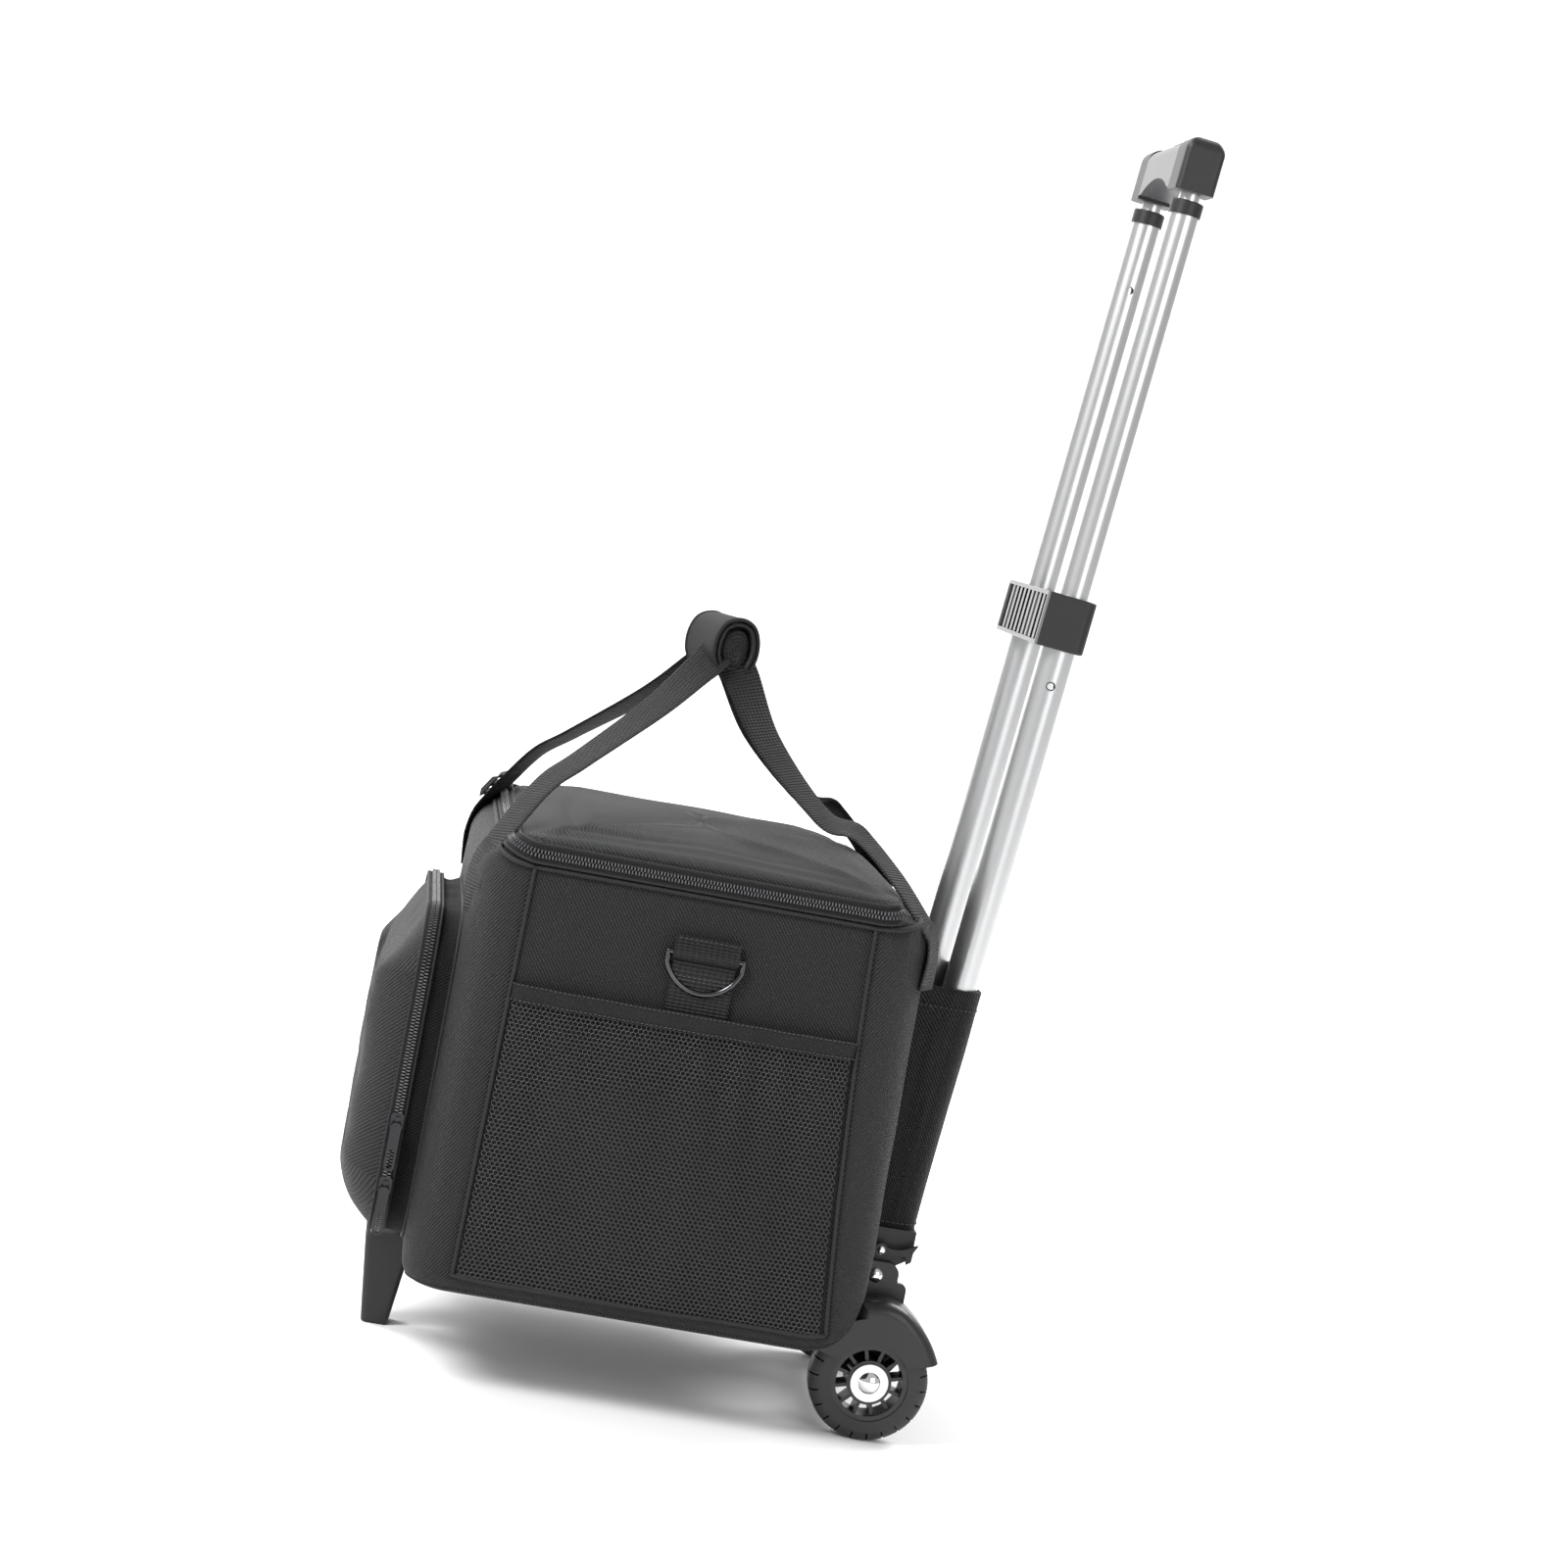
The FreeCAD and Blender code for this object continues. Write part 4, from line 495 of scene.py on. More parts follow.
def band(name: str, path: np.ndarray, normals: np.ndarray, width: float, thick: float, finish: Finish) -> bpy.types.Object:
    """Flat tape along a path, lying on what its normals point away from.

    Args:
        name: object name.
        path: (K, 3) middle of its underside.
        normals: (K, 3).
        width: across.
        thick: height.
        finish: its material.

    Returns:
        The new object.
    """
    half, edge = width / 2, thick * 0.45
    section = np.array([[-half + edge, 0], [0, 0], [half - edge, 0], [half, thick / 2], [half - edge, thick],
                        [half * 0.4, thick * 1.02], [-half * 0.4, thick * 1.02], [-half + edge, thick],
                        [-half, thick / 2]])
    points = sweep(path, normals, section)
    middle = path[:, None] + unit(normals)[:, None] * thick / 2
    points = np.concatenate([middle[:1] + 0 * points[:1], points, middle[-1:] + 0 * points[-1:]])
    return put_grid(name, points, finish, closed=True)


BLOCK_FACES = np.array([[0, 1, 2, 3], [7, 6, 5, 4], [0, 4, 5, 1], [1, 5, 6, 2], [2, 6, 7, 3], [3, 7, 4, 0]])


def blocks(name: str, places: np.ndarray, along: np.ndarray, normals: np.ndarray, size: tuple[float, float, float],
           finish: Finish, taper: float = 0.6) -> bpy.types.Object:
    """Many small tapered blocks in one mesh: teeth or stitches.

    Args:
        name: object name.
        places: (K, 3) middle of each underside.
        along: (K, 3) direction of each block's length.
        normals: (K, 3) up.
        size: length, width and height.
        finish: its material.
        taper: size of the top against the foot.

    Returns:
        The new object.
    """
    length, width, height = size
    square = np.array([[-0.5, -0.5], [0.5, -0.5], [0.5, 0.5], [-0.5, 0.5]])
    foot = np.concatenate([square * (length, width), np.zeros((4, 1))], 1)
    top = np.concatenate([square * (length * taper, width * taper), np.full((4, 1), height)], 1)
    corners = np.concatenate([foot, top])
    forward = unit(along)
    side = unit(np.cross(normals, forward))
    up = np.cross(forward, side)
    axes = np.stack([forward, side, up], 1)
    points = places[:, None] + corners @ axes
    faces = (BLOCK_FACES[None, :, ::-1] + 8 * np.arange(len(places))[:, None, None]).reshape(-1, 4)
    return put_mesh(name, points.reshape(-1, 3), faces, finish, smooth=False)


def stitches(name: str, path: np.ndarray, normals: np.ndarray,
             pitch: float = 3.2 * MM) -> bpy.types.Object:
    """A line of stitches along a path.

    Args:
        name: object name.
        path: (K, 3).
        normals: (K, 3).
        pitch: distance between stitches.

    Returns:
        The new object.
    """
    places, ups = resample(path, pitch, normals)
    along = np.gradient(places, axis=0)
    return blocks(name, places - unit(ups) * 0.2 * MM, along, ups, (pitch * 0.72, 0.6 * MM, 0.65 * MM), THREAD)


def soft_noise(rows: int, columns: int, cells: tuple[int, int], seed: int) -> np.ndarray:
    """Smooth random field that joins up across its columns.

    Args:
        rows: size of the field.
        columns: size of the field.
        cells: number of bumps down and across.
        seed: random seed.

    Returns:
        (rows, columns) values from about -1 to 1.
    """
    values = np.random.default_rng(seed).uniform(-1, 1, (cells[0] + 1, cells[1]))
    row = np.linspace(0, cells[0] - 1e-6, rows)
    column = np.arange(columns) / columns * cells[1]
    r0, c0 = row.astype(int), column.astype(int)
    fr, fc = row - r0, column - c0
    fr, fc = (fr * fr * (3 - 2 * fr))[:, None], (fc * fc * (3 - 2 * fc))[None, :]
    c1 = (c0 + 1) % cells[1]
    low = values[r0][:, c0] * (1 - fc) + values[r0][:, c1] * fc
    high = values[r0 + 1][:, c0] * (1 - fc) + values[r0 + 1][:, c1] * fc
    return low * (1 - fr) + high * fr


SIDE_N, ARC_N = 66, 20
PANEL_N = SIDE_N + ARC_N


def plan_loop(half: np.ndarray, low: np.ndarray, high: np.ndarray, r_low: np.ndarray,
              r_high: np.ndarray) -> tuple[np.ndarray, np.ndarray]:
    """Rounded rectangles, from the right side's low end round through the high side.

    Args:
        half: (M,) half width.
        low: (M,) lower side.
        high: (M,) upper side.
        r_low: (M,) radius of the two low corners.
        r_high: (M,) radius of the two high corners.

    Returns:
        Points and outward normals, each (M, N, 2).
    """
    half, low, high, r_low, r_high = (a[:, None] for a in np.broadcast_arrays(
        *(np.atleast_1d(np.asarray(v, float)) for v in (half, low, high, r_low, r_high))))
    t = (np.arange(SIDE_N) / SIDE_N)[None]
    turn = (np.arange(ARC_N) / ARC_N * math.pi / 2)[None]
    one, cos, sin = np.ones_like(half * t), np.cos(turn), np.sin(turn)
    ones = np.ones_like(half * turn)
    inner, start, stop = half, low + r_low, high - r_high
    parts = [
        (inner * one, start + (stop - start) * t, one, 0 * one),
        (half - r_high + r_high * cos, stop + r_high * sin, ones * cos, ones * sin),
        ((half - r_high) * (1 - 2 * t), high * one, 0 * one, one),
        (-half + r_high - r_high * sin, stop + r_high * cos, -ones * sin, ones * cos),
        (-inner * one, stop + (start - stop) * t, -one, 0 * one),
        (-half + r_low - r_low * cos, start - r_low * sin, -ones * cos, -ones * sin),
        ((half - r_low) * (2 * t - 1), low * one, 0 * one, -one),
        (half - r_low + r_low * sin, start - r_low * cos, ones * sin, -ones * cos),
    ]
    points = np.stack([np.concatenate([p[0] for p in parts], 1), np.concatenate([p[1] for p in parts], 1)], 2)
    normals = np.stack([np.concatenate([p[2] for p in parts], 1), np.concatenate([p[3] for p in parts], 1)], 2)
    return points, normals


def panel_mask() -> np.ndarray:
    """How far each column is from the corners.

    Returns:
        (N,) 0 at the corner arcs, 1 in the middle of the four flat sides.
    """
    t = np.arange(SIDE_N) / SIDE_N
    return np.tile(np.concatenate([np.sin(math.pi * t) ** 0.7, np.zeros(ARC_N)]), 4)


def panel_flips() -> np.ndarray:
    """Turn of the weave on each column: sides one way, corner strips the other.

    Returns:
        (N,) 1 or -1.
    """
    return np.tile(np.concatenate([np.ones(SIDE_N), -np.ones(ARC_N)]), 4)


def groove(distance: np.ndarray, width: float) -> np.ndarray:
    """Bell curve used where a seam pinches the cloth.

    Args:
        distance: from the seam.
        width: of the bell.

    Returns:
        Values from 0 to 1.
    """
    return np.exp(-(distance / width) ** 2)


# ------------------------------------------------------------------ the bag
@dataclass
class BagShell:
    """Padded body of the bag, with its piped seams.

    Args:
        half: half width.
        front: front panel's plane.
        back: back panel's plane.
        floor: underside.
        rim: upper edge, under the lid.
        wall: thickness of the padded wall.
        toe: radius of the lower edge.
        heel: radius of the lower back edge.
        shoulder: radius of the upper front and back edges.
        bulge: how far the flat sides swell.
        piping: radius of the piping.
        core: how far in from the edge the underside's rows start.
        wall_rows: rows of points up the wall.
    """

    half: float
    front: float
    back: float
    floor: float
    rim: float
    wall: float = 3.0 * MM
    toe: float = 12.0 * MM
    heel: float = 35.0 * MM
    shoulder: float = 22.0 * MM
    bulge: float = 2.6 * MM
    piping: float = 1.5 * MM
    core: float = 0.110
    wall_rows: int = 84

    @classmethod
    def from_frame(cls) -> "BagShell":
        """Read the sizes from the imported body.

        Returns:
            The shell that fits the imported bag.
        """
        low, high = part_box("bag_body")
        return cls(high.x, low.y, high.y, low.z, high.z)

    def lift_of_heel(self, y: np.ndarray) -> np.ndarray:
        """Height of the underside above the floor at a place along the depth.

        Args:
            y: places.

        Returns:
            Heights above the floor.
        """
        into = np.clip(y - (self.back - self.heel), 0, self.heel)
        return self.heel - np.sqrt(np.maximum(self.heel ** 2 - into ** 2, 0))

    def rings(self, inset: np.ndarray, height: np.ndarray, shrink: float) -> tuple[np.ndarray, np.ndarray]:
        """Rings of the form at given insets and heights.

        Args:
            inset: (M,) distance inside the outer side.
            height: (M,) height, 0 at the floor and 1 at the rim.
            shrink: extra inset of the whole form.

        Returns:
            Points (M, N, 3) and plan normals (M, N, 3).
        """
        inset = inset + shrink
        into = np.clip(self.shoulder - (1 - height) * (self.rim - self.floor), 0, self.shoulder)
        roll = self.shoulder - np.sqrt(self.shoulder ** 2 - into ** 2)
        r_front = 34 * MM - 4 * MM * (1 - height) - 0.95 * roll
        r_back = 40 * MM - 19 * MM * (1 - height) ** 1.6 - 1.0 * roll
        plan, normal = plan_loop(self.half - inset, self.front + inset + roll, self.back - inset - roll,
                                 np.maximum(r_front - inset, 4 * MM), np.maximum(r_back - inset, 4 * MM))
        heel = self.lift_of_heel(plan[:, :, 1]) + shrink
        z = self.floor + heel + height[:, None] * (self.rim - self.floor - heel)
        points = np.concatenate([plan, z[:, :, None]], 2)
        return points, np.concatenate([normal, 0 * z[:, :, None]], 2)

    def outer(self) -> tuple[np.ndarray, np.ndarray]:
        """Outer skin from the middle of the underside to the rim.

        Returns:
            Points and plan normals, (M, N, 3).
        """
        turn = np.linspace(0, math.pi / 2, 9)[:-1]
        under = np.linspace(self.core, self.toe, 14)[:-1]
        full = self.rim - self.floor
        inset = np.concatenate([under, self.toe * (1 - np.sin(turn)), np.zeros(self.wall_rows)])
        height = np.concatenate([0 * under, self.toe * (1 - np.cos(turn)) / full,
                                 np.linspace(self.toe / full, 1, self.wall_rows)])
        points, normals = self.rings(inset, height, 0.0)
        share = height[:, None]
        mask = panel_mask()[None]
        swell = self.bulge * mask * np.sin(math.pi * np.clip(share, 0, 1)) ** 0.8
        folds = soft_noise(len(height), points.shape[1], (7, 46), 11) * 0.55 * MM
        folds += soft_noise(len(height), points.shape[1], (3, 20), 5) * 1.1 * MM
        folds *= np.clip((1 - share) * full / self.shoulder - 0.1, 0, 1)
        seam = np.zeros(points.shape[1])
        for column in self.seam_columns():
            away = np.abs((np.arange(points.shape[1]) - column + points.shape[1] // 2) % points.shape[1]
                          - points.shape[1] // 2)
            seam = np.maximum(seam, groove(away * 3.2 * MM, 4.0 * MM))
        welt = groove((share - 1) * full + 9 * MM, 3.5 * MM) * np.abs(normals[:, :, 0])
        wall = (inset == 0)[:, None]
        push = wall * (swell + folds * np.clip((1 - share) * 8, 0, 1) - 1.1 * MM * seam[None] - 1.0 * MM * welt)
        return points + normals * push[:, :, None], normals

    @staticmethod
    def seam_columns() -> tuple[int, int, int, int]:
        """Columns where the side panels meet the corner strips.

        Returns:
            Right front, right back, left back and left front.
        """
        return 0, SIDE_N, 2 * PANEL_N, 2 * PANEL_N + SIDE_N

    def on_wall(self, columns: np.ndarray, heights: np.ndarray, lift: object = 0.0) -> tuple[np.ndarray, np.ndarray]:
        """Places on the outer wall.

        Args:
            columns: (...) column numbers, with fractions.
            heights: (...) z in metres.
            lift: distance off the wall.

        Returns:
            Points and normals, (..., 3).
        """
        grid, normals = self.skin
        wall = grid[-self.wall_rows:]
        n = wall.shape[1]
        columns, heights = np.broadcast_arrays(np.asarray(columns, float), np.asarray(heights, float))
        c0 = np.floor(columns).astype(int)
        fc = (columns - c0)[..., None]
        c1 = (c0 + 1) % n
        c0 = c0 % n
        low = wall[0, c0, 2]
        row = np.clip((heights - low) / (wall[-1, c0, 2] - low), 0, 1) * (self.wall_rows - 1.001)
        r0 = row.astype(int)
        fr = (row - r0)[..., None]
        place = ((wall[r0, c0] * (1 - fr) + wall[r0 + 1, c0] * fr) * (1 - fc)
                 + (wall[r0, c1] * (1 - fr) + wall[r0 + 1, c1] * fr) * fc)
        out = unit(normals[-1, c0] * (1 - fc) + normals[-1, c1] * fc)
        tilt = np.clip((heights - self.rim + self.shoulder) / self.shoulder, 0, 0.98)
        steep = np.abs(out[..., 1])
        out = np.stack([out[..., 0], out[..., 1] * np.sqrt(1 - tilt ** 2), steep * tilt], -1)
        return place + out * np.asarray(lift)[..., None], out

    def build(self) -> bpy.types.Object:
        """Draw the shell and its piping.

        Returns:
            The shell.
        """
        self.skin = self.outer()
        skin = self.skin[0]
        down = np.linspace(1, 0, 20)
        inside, _ = self.rings(0 * down, down, self.wall)
        under = np.linspace(0, self.core, 6)[1:]
        floor, _ = self.rings(under, 0 * under, self.wall)
        points = np.concatenate([skin, inside, floor])
        shell = put_grid("bag_shell", points, TWILL, closed=True, flips=panel_flips())
        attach(shell, Body.FRAME.value)
        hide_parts("bag_body")
        self.close_ends(skin[0], floor[-1])
        self.pipe_seams()
        return shell

    def close_ends(self, outer: np.ndarray, inner: np.ndarray) -> None:
        """Fill the two holes left in the middle of the floor.

        Args:
            outer: (N, 3) ring in the underside.
            inner: (N, 3) ring in the inside floor.
        """
        for name, ring, finish in (("bag_underside", outer, TWILL_DARK), ("bag_inner_floor", inner, LINING)):
            middle = ring.mean(0)
            spread = np.linspace(1, 0.02, 8)[:, None, None]
            points = middle + (ring[None] - middle) * spread
            patch = put_grid(name, points, finish, closed=True)
            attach(patch, Body.FRAME.value)

    def pipe_seams(self) -> None:
        """Piping round each side panel and under the lid's zip."""
        for side, (front, back) in (("right", (0, SIDE_N)), ("left", (2 * PANEL_N + SIDE_N, 2 * PANEL_N))):
            top = self.rim - 8 * MM
            low_front, low_back = self.floor + 13 * MM, self.floor + 2 * MM
            rise = np.linspace(low_front, top, 70)
            run = np.linspace(0, 1, 60)
            fall = np.linspace(top, low_back, 70)
            columns = np.concatenate([np.full(70, front), front + (back - front) * run[1:-1], np.full(70, back)])
            heights = np.concatenate([rise[::-1], low_front + (low_back - low_front) * run[1:-1], fall[::-1]])
            path, normals = self.on_wall(columns, heights, self.piping * 0.55)
            cord = tube(f"side_piping_{side}", path, normals, self.piping, PIPING)
            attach(cord, Body.FRAME.value)
        columns = np.arange(4 * PANEL_N + 1)
        facing = np.abs(self.skin[1][-1, columns % (4 * PANEL_N), 1])
        path, normals = self.on_wall(columns, self.rim - 8.5 * MM + 6.0 * MM * facing ** 2, self.piping * 0.6)
        ring = tube("rim_piping", path, normals, self.piping * 1.15, PIPING)
        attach(ring, Body.FRAME.value)


@dataclass
class Lid:
    """Padded lid with its crown and soft folds.

    Args:
        bag: the shell below.
        front: front edge.
        back: back edge.
        low: lower edge.
        high: top of the crown.
        wall: thickness.
        round_r: radius of the upper edge.
    """

    bag: BagShell
    front: float
    back: float
    low: float
    high: float
    wall: float = 3.0 * MM
    round_r: float = 11.0 * MM

    @classmethod
    def on(cls, bag: BagShell) -> "Lid":
        """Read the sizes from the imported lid.

        Args:
            bag: the shell below.

        Returns:
            The lid.
        """
        low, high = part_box("lid_panel")
        return cls(bag, low.y, high.y, low.z, high.z)

    def outline(self, inset: np.ndarray) -> tuple[np.ndarray, np.ndarray]:
        """Plan of the lid.

        Args:
            inset: (M,) distances inside its edge.

        Returns:
            Points and outward normals, (M, N, 2).
        """
        return plan_loop(self.bag.half - inset, self.front + inset, self.back - inset,
                         np.maximum(14 * MM - 0.3 * inset, 5 * MM), np.maximum(17 * MM - 0.3 * inset, 5 * MM))

    def build(self) -> bpy.types.Object:
        """Draw the lid.

        Returns:
            The lid.
        """
        turn = np.linspace(0, math.pi / 2, 12)
        side = np.linspace(0, 1, 4)[:-1]
        spread = np.linspace(0, 1, 46)[1:]
        core = 0.110
        shoulder = self.high - 8.0 * MM - self.round_r
        inset = np.concatenate([0.6 * MM * (1 - side), self.round_r * (1 - np.cos(turn)),
                                self.round_r + (core - self.round_r) * spread])
        height = np.concatenate([self.low + (shoulder - self.low) * side, shoulder + self.round_r * np.sin(turn),
                                 shoulder + self.round_r + 8.0 * MM * (1 - (1 - spread) ** 2.4)])
        plan, normal = self.outline(inset)
        rows, n = plan.shape[:2]
        mask = panel_mask()[None]
        away = inset[:, None]
        wobble = soft_noise(rows, n, (3, 22), 3)
        fold = (groove(away - 21 * MM - 4 * MM * wobble, 4.5 * MM)
                - 1.1 * groove(away - 30 * MM - 5 * MM * wobble, 4.0 * MM)
                + 0.8 * groove(away - 40 * MM - 6 * MM * wobble, 5.0 * MM))
        where = np.clip(0.45 + 0.75 * soft_noise(rows, n, (2, 9), 8), 0, 1)
        fall = np.clip((away - 6 * MM) / (14 * MM), 0, 1) * np.clip((core - away) / (40 * MM), 0, 1)
        height = height[:, None] + 1.7 * MM * fold * where * fall + 0.9 * MM * wobble * fall
        corner = (1 - mask) * groove(away - 10 * MM, 16 * MM) * 3.0 * MM
        height = height - corner * np.clip((height - shoulder) / self.round_r, 0, 1)
        swell = 1.4 * MM * mask * np.clip((height - self.low) / (8 * MM), 0, 1) * (away < self.round_r)
        plan = plan + normal * swell[:, :, None]
        top = np.concatenate([plan, height[:, :, None]], 2)
        under_inset = np.concatenate([[self.wall, self.wall], self.wall + (core - self.wall) * spread[::3]])
        under_z = np.concatenate([[self.low, self.high - 13 * MM], np.full(len(spread[::3]), self.high - 12 * MM)])
        plan2, _ = self.outline(under_inset)
        below = np.concatenate([plan2, np.broadcast_to(under_z[:, None, None], plan2.shape[:2] + (1,))], 2)
        middle = top[-1].mean(0)
        close = np.linspace(1, 0.02, 7)[1:, None, None]
        cap = middle + (top[-1][None] - middle) * close
        middle_low = below[-1].mean(0)
        cap_low = middle_low + (below[-1][None] - middle_low) * close
        points = np.concatenate([cap_low[::-1], below[::-1], top, cap])
        lid = put_grid("lid_shell", points, TWILL, closed=True)
        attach(lid, Body.LID.value)
        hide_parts("lid_panel")
        return lid


@dataclass
class Zip:
    """Coil zip: two tapes and two rows of teeth that meet on a line.

    Args:
        name: prefix of the pieces.
        pitch: distance between teeth.
        tape: width of each tape.
        tooth: length, width and height of a tooth.
    """

    name: str
    pitch: float = 2.0 * MM
    tape: float = 5.0 * MM
    tooth: tuple[float, float, float] = (3.0 * MM, 1.15 * MM, 1.9 * MM)

    def row(self, label: str, line: np.ndarray, normals: np.ndarray, side: float, body: Body, phase: float) -> None:
        """One tape with its row of teeth.

        Args:
            label: which row.
            line: (K, 3) where the two rows meet.
            normals: (K, 3) away from the bag.
            side: 1 or -1, the side of the line that this row lies on.
            body: what it moves with.
            phase: share of a pitch that the teeth are moved by.
        """
        line, normals = resample(line, self.pitch, normals)
        along = unit(np.gradient(line, axis=0))
        across = unit(np.cross(along, normals)) * side
        tape = band(f"{self.name}_tape_{label}", line + across * (self.tape / 2 + 0.3 * MM), normals, self.tape,
                    0.9 * MM, TAPE)
        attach(tape, body.value)
        places = line + across * (self.tooth[0] * 0.42) + normals * 0.7 * MM + along * self.pitch * phase
        teeth = blocks(f"{self.name}_teeth_{label}", places, across, normals, self.tooth, TEETH, 0.7)
        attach(teeth, body.value)
        welt = tube(f"{self.name}_welt_{label}", line + across * (self.tape + 0.6 * MM) + normals * 0.2 * MM, normals,
                    1.0 * MM, PIPING, 8)
        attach(welt, body.value)


def lid_zip(lid: Lid) -> None:
    """Zip round the front and both sides, between the bag and its lid.

    Args:
        lid: the lid that it closes.
    """
    columns = np.arange(2 * PANEL_N - ARC_N // 2, 4 * PANEL_N + SIDE_N + ARC_N // 2) % (4 * PANEL_N)
    plan, normal = (values[0, columns] for values in lid.outline(np.zeros(1)))
    facing = np.abs(normal[:, 1]) ** 2
    out = 1.9 * MM + 1.6 * MM * facing
    path = np.column_stack([plan + normal * out[:, None], lid.low - 0.15 * MM + 4.0 * MM * facing])
    tilt = 0.7 * facing
    normals = np.column_stack([normal[:, 0], normal[:, 1] * np.sqrt(1 - tilt ** 2), np.abs(normal[:, 1]) * tilt])
    chain = Zip("lid_zip")
    chain.row("lower", path, unit(normals), 1.0, Body.FRAME, 0.0)
    chain.row("upper", path, unit(normals), -1.0, Body.LID, 0.5)


@dataclass
class FrontPocket:
    """Gusset band, zip and domed flap of the front pocket.

    Args:
        half: half width.
        low: lower edge.
        high: upper edge.
        seat: the bag's front plane.
        face: plane of the zip.
        depth: how far the flap domes out.
        radius: corner radius of the outline.
        wall: thickness of the flap.
    """

    half: float
    low: float
    high: float
    seat: float
    face: float
    depth: float
    radius: float = 38 * MM
    wall: float = 2.0 * MM

    @classmethod
    def from_frame(cls) -> "FrontPocket":
        """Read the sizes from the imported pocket.

        Returns:
            The pocket.
        """
        low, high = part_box("pocket_gusset")
        flap_low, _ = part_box("pocket_flap")
        return cls(high.x, low.z, high.z, high.y, low.y, low.y - flap_low.y)

    def ring(self, inset: np.ndarray, y: np.ndarray) -> tuple[np.ndarray, np.ndarray]:
        """Upright rounded rectangles.

        Args:
            inset: (M,) distance inside the edge.
            y: (M,) or (M, N) place along the depth.

        Returns:
            Points and normals, (M, N, 3), with the normals in the rings' planes.
        """
        plan, normal = plan_loop(self.half - inset, self.low + inset, self.high - inset,
                                 np.maximum(self.radius - 0.7 * inset, 6 * MM),
                                 np.maximum(self.radius - 0.7 * inset, 6 * MM))
        depth = np.broadcast_to(np.asarray(y).reshape(len(inset), -1), plan.shape[:2])
        return (np.stack([plan[:, :, 0], depth, plan[:, :, 1]], 2),
                np.stack([normal[:, :, 0], 0 * depth, normal[:, :, 1]], 2))

    def build(self) -> None:
        """Draw the gusset, flap, zip and seam piping."""
        steps = np.linspace(0, 1, 12)
        outer, normals = self.ring(0 * steps, self.seat + (self.face - self.seat) * steps)
        n = outer.shape[1]
        sag = (-2.2 * MM * np.sin(math.pi * steps)[:, None]
               + soft_noise(12, n, (2, 40), 21) * 0.9 * MM * np.sin(math.pi * steps)[:, None])
        outer = outer + normals * sag[:, :, None]
        inner, _ = self.ring(np.full(6, 4.2 * MM), self.face + (self.seat - self.face) * np.linspace(0, 1, 6))
        gusset = put_grid("pocket_band", np.concatenate([outer, inner]), TWILL_DARK, closed=True)
        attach(gusset, Body.FRAME.value)
        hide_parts("pocket_gusset")
        self.build_flap(n)
        self.build_zip()
        seam, out = self.ring(np.array([-0.6 * MM]), np.array([self.seat - 1.2 * MM]))
        loop = np.concatenate([seam[0], seam[0][:1]])
        away = np.concatenate([out[0], out[0][:1]])
        cord = tube("pocket_seam_piping", loop, away, 1.2 * MM, PIPING, 8)
        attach(cord, Body.FRAME.value)

    def reach(self) -> np.ndarray:
        """Inset at which the dome reaches its full depth, per column.

        Returns:
            (N,) distances.
        """
        _, normals = self.ring(np.zeros(1), np.zeros(1))
        up = normals[0, :, 2]
        return 34 * MM + 52 * MM * np.clip(up, 0, 1) ** 1.5 + 14 * MM * np.clip(-up, 0, 1)

    def build_flap(self, n: int) -> None:
        """Draw the domed front panel.

        Args:
            n: number of columns.
        """
        share = np.linspace(0, 1, 52)
        core = self.half * 0.86
        inset = 1.0 * MM + (core - 1.0 * MM) * share ** 1.25
        rise = 1 - (1 - np.clip(inset[:, None] / self.reach()[None], 0, 1)) ** 2.3
        wrinkle = soft_noise(52, n, (5, 34), 31) * 0.8 * MM + soft_noise(52, n, (3, 12), 37) * 1.3 * MM
        fade = np.clip(inset / (14 * MM), 0, 1)[:, None] * np.clip((core - inset) / (30 * MM) + 0.25, 0, 1)[:, None]
        depth = self.face - 0.8 * MM - (self.depth - 1.5 * MM) * rise - wrinkle * fade
        front, _ = self.ring(inset, depth)
        middle = front[-1].mean(0)
        close = np.linspace(1, 0.02, 6)[1:, None, None]
        cap = middle + (front[-1][None] - middle) * close
        back = front[::-4].copy()
        back[:, :, 1] += self.wall
        points = np.concatenate([back + np.array([0, 0.4 * MM, 0]), front, cap])
        flap = put_grid("pocket_front", points, TWILL, closed=True)
        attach(flap, Body.FLAP.value)
        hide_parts("pocket_flap")

    def build_zip(self) -> None:
        """Draw the zip from the lower right round the top to the lower left."""
        ring, normals = self.ring(np.array([0.4 * MM]), np.array([self.face - 0.1 * MM]))
        line = np.roll(ring[0], PANEL_N + SIDE_N // 2, 0)
        away = np.roll(normals[0], PANEL_N + SIDE_N // 2, 0)
        keep = slice(ARC_N + SIDE_N // 2 + 4, len(line) - ARC_N - SIDE_N // 2 - 4)
        chain = Zip("pocket_zip", tape=4.0 * MM)
        chain.row("rear", line[keep], away[keep], 1.0, Body.FRAME, 0.0)
        chain.row("front", line[keep], away[keep], -1.0, Body.FLAP, 0.5)


